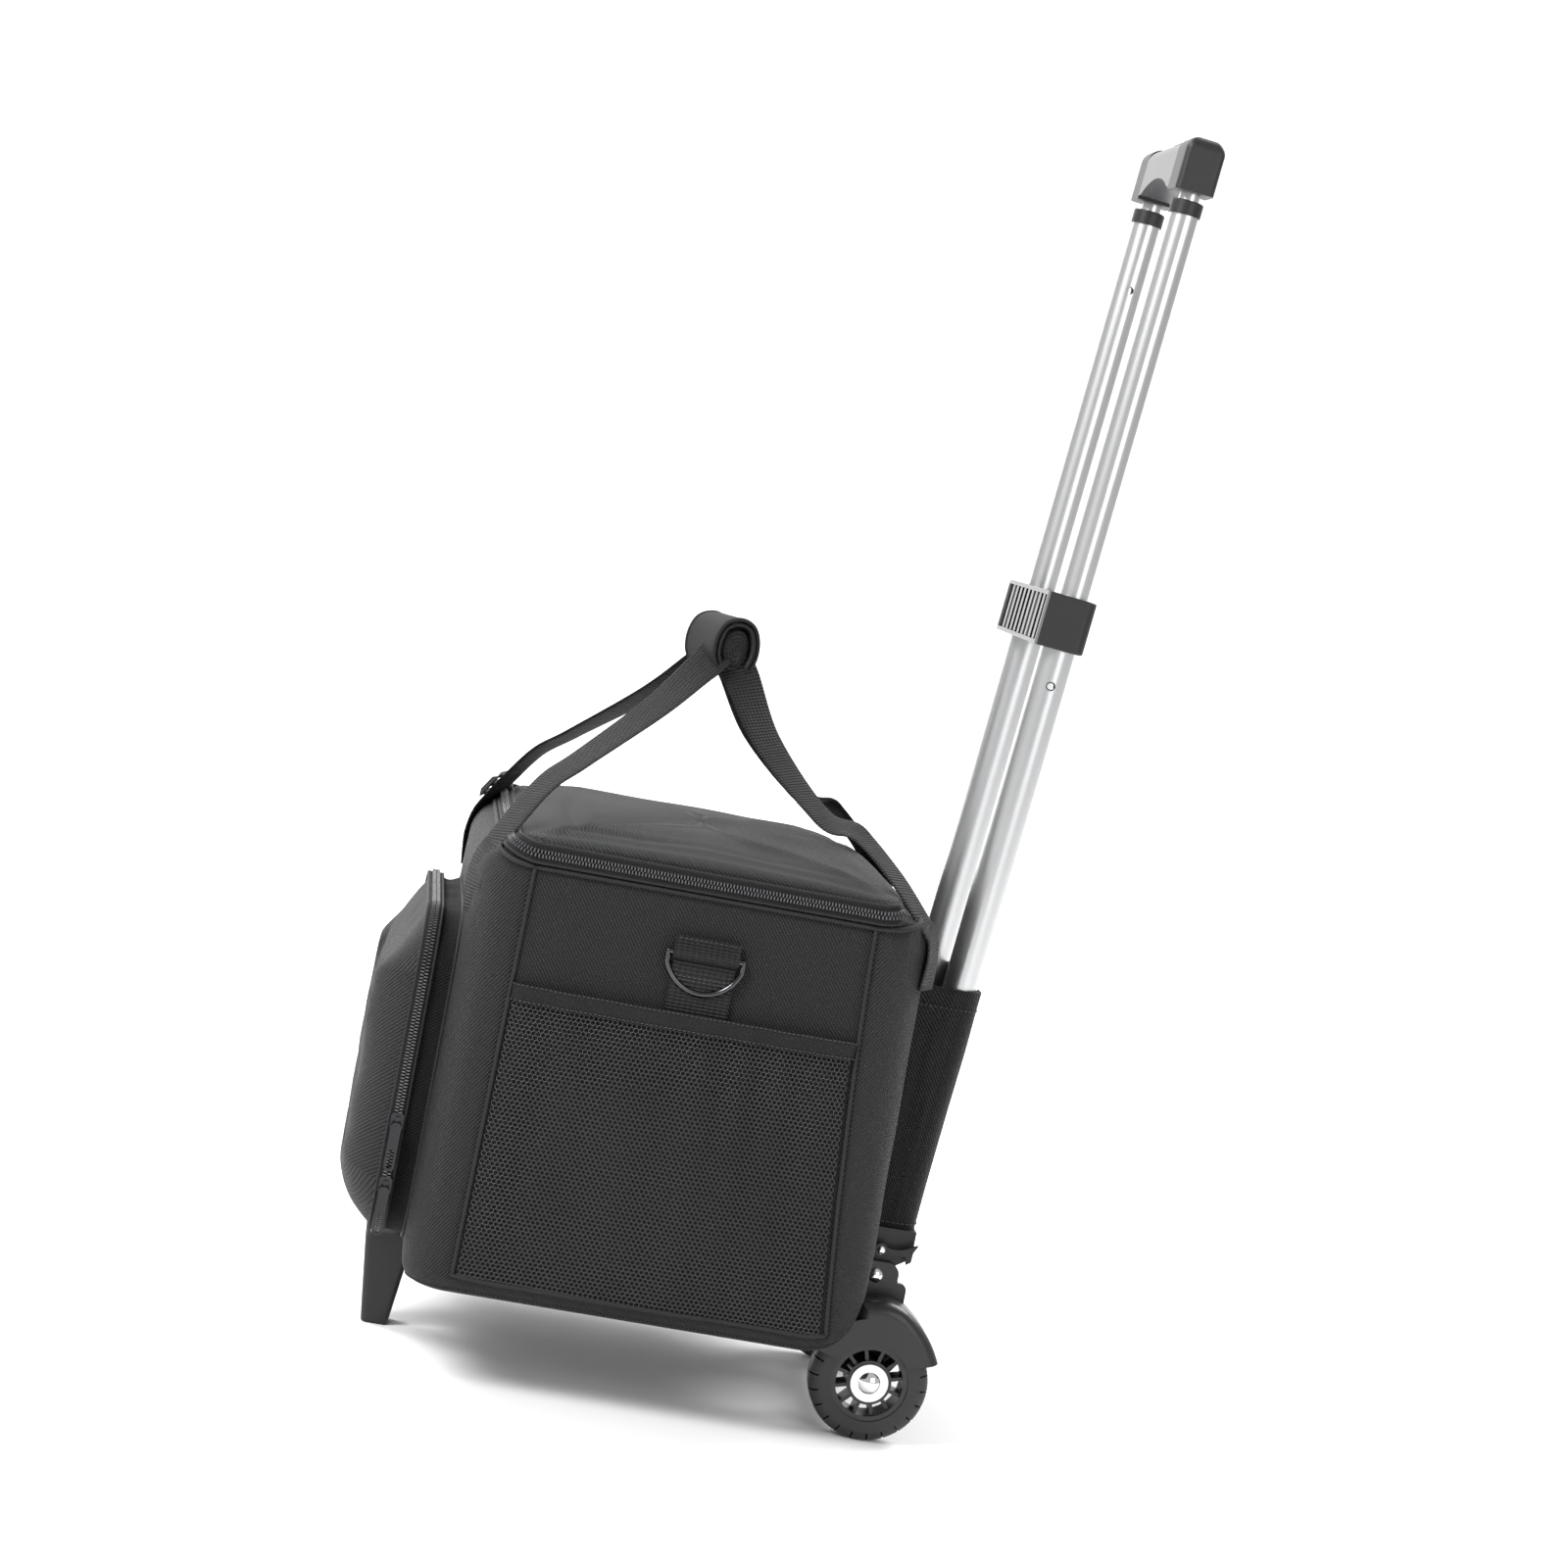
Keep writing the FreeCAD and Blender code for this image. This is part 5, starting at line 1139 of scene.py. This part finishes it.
@dataclass
class NetPocket:
    """Net pocket with its hem on one side panel.

    Args:
        bag: the shell.
        side: "right" or "left".
        low: lower edge.
        high: upper edge of the hem.
        cell: width of one hexagon.
        yarn: radius of the yarn.
        hem: height of the hem tape.
    """

    bag: BagShell
    side: str
    low: float
    high: float
    cell: float = 3.0 * MM
    yarn: float = 0.40 * MM
    hem: float = 11.0 * MM

    def column(self, share: np.ndarray) -> np.ndarray:
        """Column of the bag's wall at a share of the panel's length.

        Args:
            share: 0 at the front seam, 1 at the back seam.

        Returns:
            Column numbers.
        """
        inset = 0.8
        share = inset + share * (SIDE_N - 2 * inset)
        return share if self.side == "right" else 2 * PANEL_N + SIDE_N - share

    def surface(self, a: np.ndarray, b: np.ndarray) -> tuple[np.ndarray, np.ndarray]:
        """Places on the bulging net.

        Args:
            a: share along the panel.
            b: share of the height.

        Returns:
            Points and normals.
        """
        low = self.low + (1 - a) * 3 * MM
        edge = np.sin(math.pi * np.clip(a, 0, 1)) ** 0.45
        open_top = 1 - (1 - np.clip(b * 3.2, 0, 1)) ** 2
        folds = (np.sin(a * 40 + 2.0 * np.sin(a * 9)) * 0.9 + np.sin(a * 17 + b * 5 + 1) * 0.7) * MM
        lift = 1.0 * MM + edge * open_top * (4.4 * MM + folds * (0.3 + 0.7 * b) + 0.7 * MM * np.sin(b * 9 + a * 7))
        return self.bag.on_wall(self.column(a), low + b * (self.high - low), lift)

    def build(self) -> None:
        """Draw the yarn, the hem and its stitches."""
        length = abs(np.diff(self.bag.on_wall(self.column(np.array([0.0, 1.0])), np.full(2, 0.16))[0][:, 1])[0])
        height = self.high - self.low
        edge = self.cell / math.sqrt(3)
        across = int(length / (self.cell / 2))
        rows = int((height - self.hem * 0.5) / (1.5 * edge))
        j, i = np.meshgrid(np.arange(rows), np.arange(across + 1), indexing="ij")
        x = i * self.cell / 2
        z = j * 1.5 * edge + ((i + j) % 2) * edge / 2
        points, normals = self.surface(x / length, z / height)
        index = np.arange(points.shape[0] * points.shape[1]).reshape(points.shape[:2])
        flat = np.stack([index[:, :-1].ravel(), index[:, 1:].ravel()], 1)
        odd = ((i + j) % 2 == 1)[:-1]
        upright = np.stack([index[:-1][odd], index[1:][odd]], 1)
        ends = np.concatenate([flat, upright])
        self.strands(points.reshape(-1, 3), normals.reshape(-1, 3), ends)
        self.build_hem()

    def strands(self, points: np.ndarray, normals: np.ndarray, ends: np.ndarray) -> None:
        """Draw each yarn as a three-sided prism.

        Args:
            points: (P, 3) knots.
            normals: (P, 3).
            ends: (E, 2) pairs of knots.
        """
        a, b, up = points[ends[:, 0]], points[ends[:, 1]], normals[ends[:, 0]]
        side = unit(np.cross(b - a, up))
        corner = np.stack([up, -0.5 * up + 0.87 * side, -0.5 * up - 0.87 * side], 1) * self.yarn
        prism = np.concatenate([a[:, None] + corner, b[:, None] + corner], 1)
        quads = np.array([[0, 1, 4, 3], [1, 2, 5, 4], [2, 0, 3, 5]])
        faces = (quads[None] + 6 * np.arange(len(ends))[:, None, None]).reshape(-1, 4)
        net = put_mesh(f"net_{self.side}", prism.reshape(-1, 3), faces, NET)
        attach(net, Body.FRAME.value)
        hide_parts(f"mesh_pocket_{self.side}")

    def build_hem(self) -> None:
        """Draw the hem tape along the net's upper edge, with two lines of stitches."""
        a = np.linspace(-0.004, 1.004, 90)
        middle = 1 - self.hem / 2 / (self.high - self.low)
        path, normals = self.surface(a, np.full(90, middle))
        path = path + normals * 0.2 * MM
        hem = band(f"hem_{self.side}", path, normals, self.hem, 1.5 * MM, HEM)
        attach(hem, Body.FRAME.value)
        for label, offset in (("low", -0.42), ("high", 0.44)):
            line = path + np.array([0, 0, self.hem * offset]) + normals * 1.55 * MM
            sewn = stitches(f"hem_stitches_{label}_{self.side}", line, normals, 2.8 * MM)
            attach(sewn, Body.FRAME.value)


@dataclass
class RingTab:
    """Webbing tab that holds the D-ring.

    Args:
        sign: 1 on the right side, -1 on the left.
        face: the side panel's plane, as a distance from the middle.
        middle: place along the depth.
        bar: height of the ring's bar.
        bar_out: distance of the bar from the middle plane.
        low: the tab's lower end.
        high: the tab's upper end.
        width: of the webbing.
    """

    sign: float
    face: float
    middle: float
    bar: float
    bar_out: float
    low: float
    high: float
    width: float = 38 * MM

    @classmethod
    def from_frame(cls, sign: float, bag: BagShell) -> "RingTab":
        """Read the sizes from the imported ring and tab.

        Args:
            sign: which side.
            bag: the shell.

        Returns:
            The tab.
        """
        low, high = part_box("d_ring_right")
        tab_low, tab_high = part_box("ring_tabs")
        wire = high.x - low.x
        return cls(sign, bag.half, (low.y + high.y) / 2, high.z - wire / 2, (low.x + high.x) / 2,
                   tab_low.z - 12 * MM, tab_high.z)

    def strip(self, name: str, keys: np.ndarray, thick: float, width: float) -> None:
        """Webbing that follows a line in the XZ plane.

        Args:
            name: piece name.
            keys: (K, 2) distance from the middle plane, and height.
            thick: of the webbing.
            width: of the webbing.
        """
        line = spline(keys, 8)
        tangent = unit(np.gradient(line, axis=0))
        out = np.stack([tangent[:, 1], -tangent[:, 0]], 1)
        section = np.concatenate([line + out * thick / 2, (line - out * thick / 2)[::-1]])
        y = self.middle + np.linspace(-width / 2, width / 2, 9)
        points = np.stack([np.broadcast_to(self.sign * section[:, 0], (9, len(section))),
                           np.broadcast_to(y[:, None], (9, len(section))),
                           np.broadcast_to(section[:, 1], (9, len(section)))], 2)
        centre = points.mean(1, keepdims=True)
        points = np.concatenate([centre[:1] + 0 * points[:1], points, centre[-1:] + 0 * points[-1:]])
        rows, columns = points.shape[:2]
        faces, rows4, columns4 = grid_faces(rows, columns, True)
        along = np.concatenate([np.cumsum(np.linalg.norm(np.diff(section, axis=0), axis=1)), [0, 0]])
        uv = np.stack([rows4 * width / rows, along[columns4 % columns]], 2)
        if self.sign < 0:
            faces, uv = faces[:, ::-1], uv[:, ::-1]
        made = put_mesh(name, points.reshape(-1, 3), faces[:, ::-1], WEBBING, uv[:, ::-1], smooth=False)
        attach(made, Body.FRAME.value)

    def build(self) -> bpy.types.Object:
        """Draw the backing strip, the loop round the bar and its stitches.
        """
        label = "right" if self.sign > 0 else "left"
        x0 = self.face + 3.2 * MM
        r = 3.0 * MM
        c, z = self.bar_out + 0.4 * MM, self.bar
        backing = np.array([[x0, self.low], [x0, z - 12 * MM], [x0 - 0.8 * MM, z]])
        self.strip(f"tab_backing_{label}", backing, 1.5 * MM, self.width)
        loop = np.array([[x0 - 1.2 * MM, z - 5 * MM], [c - 1 * MM, z - r], [c + r * 0.8, z - r * 0.6],
                         [c + r, z + r * 0.3], [c + 0.2 * r, z + r * 1.1], [x0 + 0.9 * MM, z + r * 1.7],
                         [x0 + 0.6 * MM, self.high - 0.5 * MM]])
        self.strip(f"tab_loop_{label}", loop, 1.4 * MM, self.width + 2 * MM)
        y = self.middle + np.linspace(-0.44, 0.44, 20) * self.width
        normals = np.tile([self.sign, 0.0, 0.0], (20, 1))
        for key, height in (("top", self.high - 2 * MM), ("low", z - 14 * MM), ("mid", z - 16 * MM)):
            lift = 1.3 * MM if key == "top" else 0.75 * MM
            line = np.stack([np.full(20, self.sign * (x0 + lift)), y, np.full(20, height)], 1)
            sewn = stitches(f"tab_stitches_{key}_{label}", line, normals, 2.6 * MM)
            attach(sewn, Body.FRAME.value)


def soft_by_lid(piece: bpy.types.Object) -> None:
    """Attach a strap piece to the frame, with its own copy of its mesh.

    Args:
        piece: the piece.
    """
    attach(piece, Body.FRAME.value)
    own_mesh(piece)


@dataclass
class CarryStrap:
    """Webbing loop from the front panel over the lid to the back panel.

    Args:
        sign: 1 on the right, -1 on the left.
        bag: the shell.
        apex_y: place of the wrap along the depth.
        apex_z: height of the straps in the wrap.
        top: the lid's top.
        width: of the webbing.
        thick: of the webbing.
    """

    sign: float
    bag: BagShell
    apex_y: float
    apex_z: float
    top: float
    width: float = 25 * MM
    thick: float = 1.7 * MM

    def stations(self) -> np.ndarray:
        """Key places: x, y, z and twist in degrees.

        Returns:
            (K, 4) values.
        """
        front, back, rim, top = self.bag.front, self.bag.back, self.bag.rim, self.top
        ay, az = self.apex_y, self.apex_z
        return np.array([
            [121 * MM, front + 2.6 * MM, rim - 46 * MM, 22],
            [121 * MM, front + 1.4 * MM, rim - 34 * MM, 22],
            [121 * MM, front + 1.0 * MM, rim - 24 * MM, 22],
            [121 * MM, front + 3.6 * MM, rim - 11 * MM, 22],
            [121 * MM, front + 9.0 * MM, rim - 1.5 * MM, 23],
            [113 * MM, front + 18 * MM, rim + 14 * MM, 23],
            [99 * MM, front + 34 * MM, top + 16 * MM, 22],
            [84 * MM, ay - 78 * MM, az - 78 * MM, 22],
            [50 * MM, ay - 38 * MM, az - 42 * MM, 31],
            [22 * MM, ay - 12 * MM, az - 14 * MM, 46],
            [12 * MM, ay + 1 * MM, az, 66],
            [16 * MM, ay + 13 * MM, az - 14 * MM, 66],
            [36 * MM, ay + 36 * MM, az - 52 * MM, 44],
            [66 * MM, back - 76 * MM, az - 88 * MM, 25],
            [86 * MM, back - 52 * MM, top + 17 * MM, 21],
            [106 * MM, back - 28 * MM, rim + 19 * MM, 21],
            [120 * MM, back - 8.5 * MM, rim - 2.5 * MM, 21],
            [120 * MM, back - 0.8 * MM, rim - 12 * MM, 20],
            [120 * MM, back + 1.8 * MM, rim - 25 * MM, 22],
            [120 * MM, back + 1.2 * MM, rim - 44 * MM, 26],
        ])

    def build(self) -> bpy.types.Object:
        """Draw the strap and the stitches of its two sewn ends.

        Returns:
            The strap.
        """
        label = "right" if self.sign > 0 else "left"
        keys = spline(self.stations(), 16)
        path, twist = resample(keys[:, :3], 3 * MM, keys[:, 3:])
        tangent = unit(np.gradient(path, axis=0))
        x_axis = np.tile([1.0, 0.0, 0.0], (len(path), 1))
        x_axis = unit(x_axis - (x_axis * tangent).sum(1, keepdims=True) * tangent)
        y_axis = np.cross(tangent, x_axis)
        turn = np.radians(twist)
        across = np.cos(turn) * x_axis + np.sin(turn) * y_axis
        normal = np.cross(across, tangent)
        half, h = self.width / 2, self.thick / 2
        section = np.array([[-half, -h * 0.4], [-half + h, -h], [-half * 0.4, -h], [half * 0.4, -h], [half - h, -h],
                            [half, -h * 0.4], [half, h * 0.4], [half - h, h], [half * 0.4, h], [-half * 0.4, h],
                            [-half + h, h], [-half, h * 0.4]])
        points = path[:, None] + section[None, :, :1] * across[:, None] + section[None, :, 1:] * normal[:, None]
        points = np.concatenate([path[:1, None] + 0 * points[:1], points, path[-1:, None] + 0 * points[-1:]])
        if self.sign < 0:
            points = (points * np.array([-1.0, 1.0, 1.0]))[:, ::-1]
        strap = put_grid(f"strap_{label}", points, WEBBING, closed=True)
        soft_by_lid(strap)
        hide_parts(f"carry_strap_{label}")
        if self.sign < 0:
            self.build_buckle(path, across, normal)
        return strap

    def build_buckle(self, path: np.ndarray, across: np.ndarray, normal: np.ndarray) -> None:
        """Draw the ladder-lock that shortens the left strap.

        Args:
            path: (K, 3) middle of the right strap.
            across: (K, 3) along its width.
            normal: (K, 3) away from its face.
        """
        mirror = np.array([-1.0, 1.0, 1.0])
        at = int(np.argmin(np.abs(path[:, 2] - (self.bag.rim + 9 * MM)) + (path[:, 1] > self.apex_y)))
        middle, side, up = path[at] * mirror, across[at] * mirror, normal[at] * mirror
        up = up * (1.0 if up[1] < 0 else -1.0)
        along = unit(np.cross(side, up))
        bars = middle + along * np.array([[-9.0], [0.0], [9.0]]) * MM + up * 1.6 * MM
        rails = middle + side * np.array([[-14.0], [14.0]]) * MM + up * 1.2 * MM
        for label, places, run, size in (("bars", bars, side, (29 * MM, 3.4 * MM, 2.6 * MM)),
                                         ("rails", rails, along, (21 * MM, 3.0 * MM, 3.0 * MM))):
            count = len(places)
            made = blocks(f"buckle_{label}", places, np.tile(run, (count, 1)), np.tile(up, (count, 1)), size,
                          MOULDING)
            soft_by_lid(made)


@dataclass
class Wrap:
    """Padded wrap that holds both straps together.

    Args:
        centre: middle of the wrap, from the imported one.
        length: along its own axis.
        turn: how far it is turned about the vertical, degrees.
        thick: of the pad.
        scale: size of the arch.
    """

    centre: np.ndarray
    length: float = 42 * MM
    turn: float = 22.0
    thick: float = 5.0 * MM
    scale: float = 0.74

    @classmethod
    def from_frame(cls) -> "Wrap":
        """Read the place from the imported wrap.

        Returns:
            The wrap.
        """
        low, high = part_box("grip_wrap")
        return cls(np.array([0.0, (low.y + high.y) / 2, (low.z + high.z) / 2]))

    def build(self) -> bpy.types.Object:
        """Draw the arch-shaped wrap with its bound edges.

        Returns:
            The wrap.
        """
        keys = np.array([[-12.5, -19.0], [-17.5, -8.0], [-17.5, 6.0], [-12.0, 17.5], [0.0, 22.0], [11.0, 18.0],
                         [16.5, 7.0], [17.0, -6.0], [13.5, -17.0]]) * MM * self.scale
        line = spline(keys, 9)
        tangent = unit(np.gradient(line, axis=0))
        out = np.stack([-tangent[:, 1], tangent[:, 0]], 1)
        ends = np.linspace(-1, 1, 33)
        shrink = np.sqrt(np.clip(1 - np.abs(ends) ** 10, 0.05, 1))
        half = self.thick / 2
        outline = np.concatenate([line + out * half, line[-1:] + tangent[-1:] * half, (line - out * half)[::-1],
                                  line[:1] - tangent[:1] * half])
        mid = np.concatenate([line, line[-1:], line[::-1], line[:1]])
        shape = mid[None] + (outline - mid)[None] * shrink[:, None, None]
        flare = 1 + 0.05 * ends[:, None] ** 2
        x = ends * self.length / 2
        points = np.stack([np.broadcast_to(x[:, None], shape.shape[:2]), shape[:, :, 0] * flare, shape[:, :, 1]], 2)
        a = math.radians(self.turn)
        spin = np.array([[math.cos(a), math.sin(a), 0], [-math.sin(a), math.cos(a), 0], [0, 0, 1]])
        points = points @ spin + self.centre
        wrap = put_grid("wrap", points, NEOPRENE, closed=True)
        soft_by_lid(wrap)
        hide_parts("grip_wrap")
        core = np.concatenate([line * 0.86 - out * half, [line[-1] * [0.3, 1.15], line[0] * [0.3, 1.15]]])
        stack = 1 + 0.05 * np.cos(np.arange(len(core)) * 2.4)[:, None]
        fill = np.stack([np.column_stack([np.full(len(core), at), core * stack * size])
                         for at, size in ((-0.47, 0.02), (-0.47, 0.6), (-0.46, 0.92), (0.46, 0.92), (0.47, 0.6),
                                          (0.47, 0.02))])
        fill[:, :, 0] *= self.length
        bundle = put_grid("strap_bundle", fill @ spin + self.centre, WEBBING, closed=True)
        soft_by_lid(bundle)
        for label, row in (("near", -2), ("far", 1)):
            ring = np.concatenate([points[row], points[row][:1]])
            normals = ring - self.centre
            bound = tube(f"wrap_binding_{label}", ring, unit(normals), 1.3 * MM, PIPING, 8)
            soft_by_lid(bound)
        return wrap


@dataclass
class Sleeve:
    """Fabric sleeve on the bag's back round the lower tubes.

    Args:
        half: half width.
        low: lower edge.
        high: upper edge.
        seat: the bag's back plane.
        rear_low: rear face at the lower edge.
        rear_high: rear face at the upper edge.
    """

    half: float
    low: float
    high: float
    seat: float
    rear_low: float
    rear_high: float

    @classmethod
    def from_frame(cls, bag: BagShell) -> "Sleeve":
        """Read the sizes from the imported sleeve.

        Args:
            bag: the shell.

        Returns:
            The sleeve.
        """
        low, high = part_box("tube_sleeve")
        lean = math.tan(math.radians(4.9)) * (high.z - low.z)
        return cls(high.x, low.z, high.z, bag.back, high.y - lean, high.y)

    def build(self) -> bpy.types.Object:
        """Draw the sleeve, its hems and bar-tacks.

        Returns:
            The sleeve.
        """
        rise = np.linspace(0, 1, 40)
        height = np.concatenate([rise, [1.0], rise[::-1], [0.0]])
        inset = np.concatenate([0 * rise, [1.1 * MM], np.full(40, 2.2 * MM), [1.1 * MM]])
        rear = self.rear_low + (self.rear_high - self.rear_low) * height
        plan, normal = plan_loop(self.half - inset, self.seat + 1.5 * MM + inset, rear - inset,
                                 np.full(82, 3 * MM), np.full(82, 12 * MM))
        n = plan.shape[1]
        folds = np.concatenate([soft_noise(40, n, (4, 26), 51), np.zeros((42, n))]) * 0.7 * MM
        pinch = -2.2 * MM * np.sin(math.pi * np.clip(height, 0, 1))[:, None] * np.abs(normal[:, :, 0])
        plan = plan + normal * (folds + pinch)[:, :, None]
        z = np.broadcast_to((self.low + (self.high - self.low) * height)[:, None, None], plan.shape[:2] + (1,))
        points = np.concatenate([plan, z], 2)
        points = np.concatenate([points, points[:1]])
        sleeve = put_grid("sleeve", points, TWILL, closed=True)
        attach(sleeve, Body.FRAME.value)
        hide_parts("tube_sleeve")
        around = np.arange(n + 1) % n
        for label, row in (("top", 36), ("low", 2)):
            line = points[row][around]
            away = np.concatenate([normal[row], np.zeros((n, 1))], 1)[around]
            sewn = stitches(f"sleeve_stitches_{label}", line + away * 0.3 * MM, away)
            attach(sewn, Body.FRAME.value)
        for label, sign in (("right", 1.0), ("left", -1.0)):
            steps = np.linspace(0, 1, 14)
            y = self.seat + 5 * MM + 15 * MM * steps
            line = np.stack([np.full(14, sign * (self.half - 0.2 * MM)), y, self.high - 5 * MM - 13 * MM * steps], 1)
            away = np.tile([sign, 0.0, 0.0], (14, 1))
            tack = stitches(f"sleeve_tack_{label}", line, away, 1.6 * MM)
            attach(tack, Body.FRAME.value)
        return sleeve


# ------------------------------------------------------------------ studio
@dataclass(frozen=True)
class Studio:
    """Camera, lights and floor.

    Args:
        eye: camera position.
        azimuth: direction of view, degrees.
        pitch: downward tilt, degrees.
        roll: turn about the line of sight, degrees.
        lens: focal length on a 36 mm sensor.
    """

    eye: tuple[float, float, float] = (2.26081, -0.23277, 0.57867)
    azimuth: float = 83.5
    pitch: float = 4.81
    roll: float = 11.03
    lens: float = 82.07

    def camera(self) -> bpy.types.Object:
        """Place the camera.

        Returns:
            The camera.
        """
        az, p, r = (math.radians(v) for v in (self.azimuth, self.pitch, self.roll))
        forward = np.array([-math.sin(az) * math.cos(p), math.cos(az) * math.cos(p), -math.sin(p)])
        right = np.array([math.cos(az), math.sin(az), 0.0])
        up = np.cross(right, forward)
        across = math.cos(r) * right + math.sin(r) * up
        rise = -math.sin(r) * right + math.cos(r) * up
        data = bpy.data.cameras.new("camera")
        data.lens, data.sensor_width = self.lens, 36.0
        data.clip_end = 50.0
        made = bpy.data.objects.new("camera", data)
        bpy.context.scene.collection.objects.link(made)
        turn = Matrix([[across[k], rise[k], -forward[k]] for k in range(3)])
        made.matrix_world = Matrix.Translation(self.eye) @ turn.to_4x4()
        bpy.context.scene.camera = made
        return made

    def light(self, name: str, place: tuple[float, float, float], aim: tuple[float, float, float], size: float,
              power: float) -> None:
        """Add a soft rectangular light.

        Args:
            name: of the light.
            place: position.
            aim: point it faces.
            size: side of the square.
            power: watts.
        """
        data = bpy.data.lights.new(name, "AREA")
        data.size, data.energy = size, power
        made = bpy.data.objects.new(name, data)
        bpy.context.scene.collection.objects.link(made)
        z = unit(np.array(place) - np.array(aim))
        x = unit(np.cross([0.0, 0.0, 1.0], z))
        y = np.cross(z, x)
        turn = Matrix([[x[k], y[k], z[k]] for k in range(3)])
        made.matrix_world = Matrix.Translation(place) @ turn.to_4x4()

    def build(self) -> None:
        """Set up the camera, lights, world and floor."""
        self.camera()
        middle = (0.0, 0.0, 0.3)
        self.light("key", (1.5, -1.7, 2.2), middle, 1.0, 95)
        self.light("fill", (2.4, 1.4, 1.2), middle, 1.6, 22)
        self.light("back", (-1.2, 1.5, 2.0), middle, 1.4, 55)
        self.light("sweep", (-1.6, -2.4, 3.4), (-4.5, 0.5, 1.0), 2.5, 260)
        world = bpy.data.worlds.new("studio")
        world.use_nodes = True
        world.node_tree.nodes["Background"].inputs["Color"].default_value = (1, 1, 1, 1)
        world.node_tree.nodes["Background"].inputs["Strength"].default_value = 0.55
        bpy.context.scene.world = world
        turn = np.linspace(0, math.pi / 2, 24)
        x = np.concatenate([[6.0], -2.0 - 2.5 * np.sin(turn), [-4.5]])
        z = np.concatenate([[0.0], 2.5 - 2.5 * np.cos(turn), [7.0]])
        sweep_points = np.stack([np.stack([x, np.full(len(x), y), z], 1) for y in (-12.0, 12.0)])
        floor = put_grid("backdrop", sweep_points, FLOOR)
        bpy.context.scene.view_settings.view_transform = "Standard"


def dress_frame() -> None:
    """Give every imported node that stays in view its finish."""
    slots = {row["node"]: row["material_slot"] for row in frame["record"]["subparts"]}
    for name, node in frame["nodes"].items():
        finish = CAD_FINISHES.get(slots.get(name, ""))
        if finish is None:
            continue
        node.data.materials.clear()
        node.data.materials.append(finish.material())


def main() -> None:
    """Build the whole scene."""
    logging.basicConfig(level=logging.INFO)
    dress_frame()
    bag = BagShell.from_frame()
    bag.build()
    lid = Lid.on(bag)
    lid.build()
    lid_zip(lid)
    FrontPocket.from_frame().build()
    for side in ("right", "left"):
        low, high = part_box(f"mesh_pocket_{side}")
        NetPocket(bag, side, low.z + 1 * MM, high.z + 0.5 * MM).build()
    tabs = [RingTab.from_frame(sign, bag) for sign in (1.0, -1.0)]
    for tab in tabs:
        tab.build()
    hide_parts("ring_tabs")
    wrap = Wrap.from_frame()
    wrap.build()
    for sign in (1.0, -1.0):
        CarryStrap(sign, bag, wrap.centre[1], wrap.centre[2] - 2 * MM, lid.high).build()
    Sleeve.from_frame(bag).build()
    Studio().build()


if __name__ == "__main__":
    main()
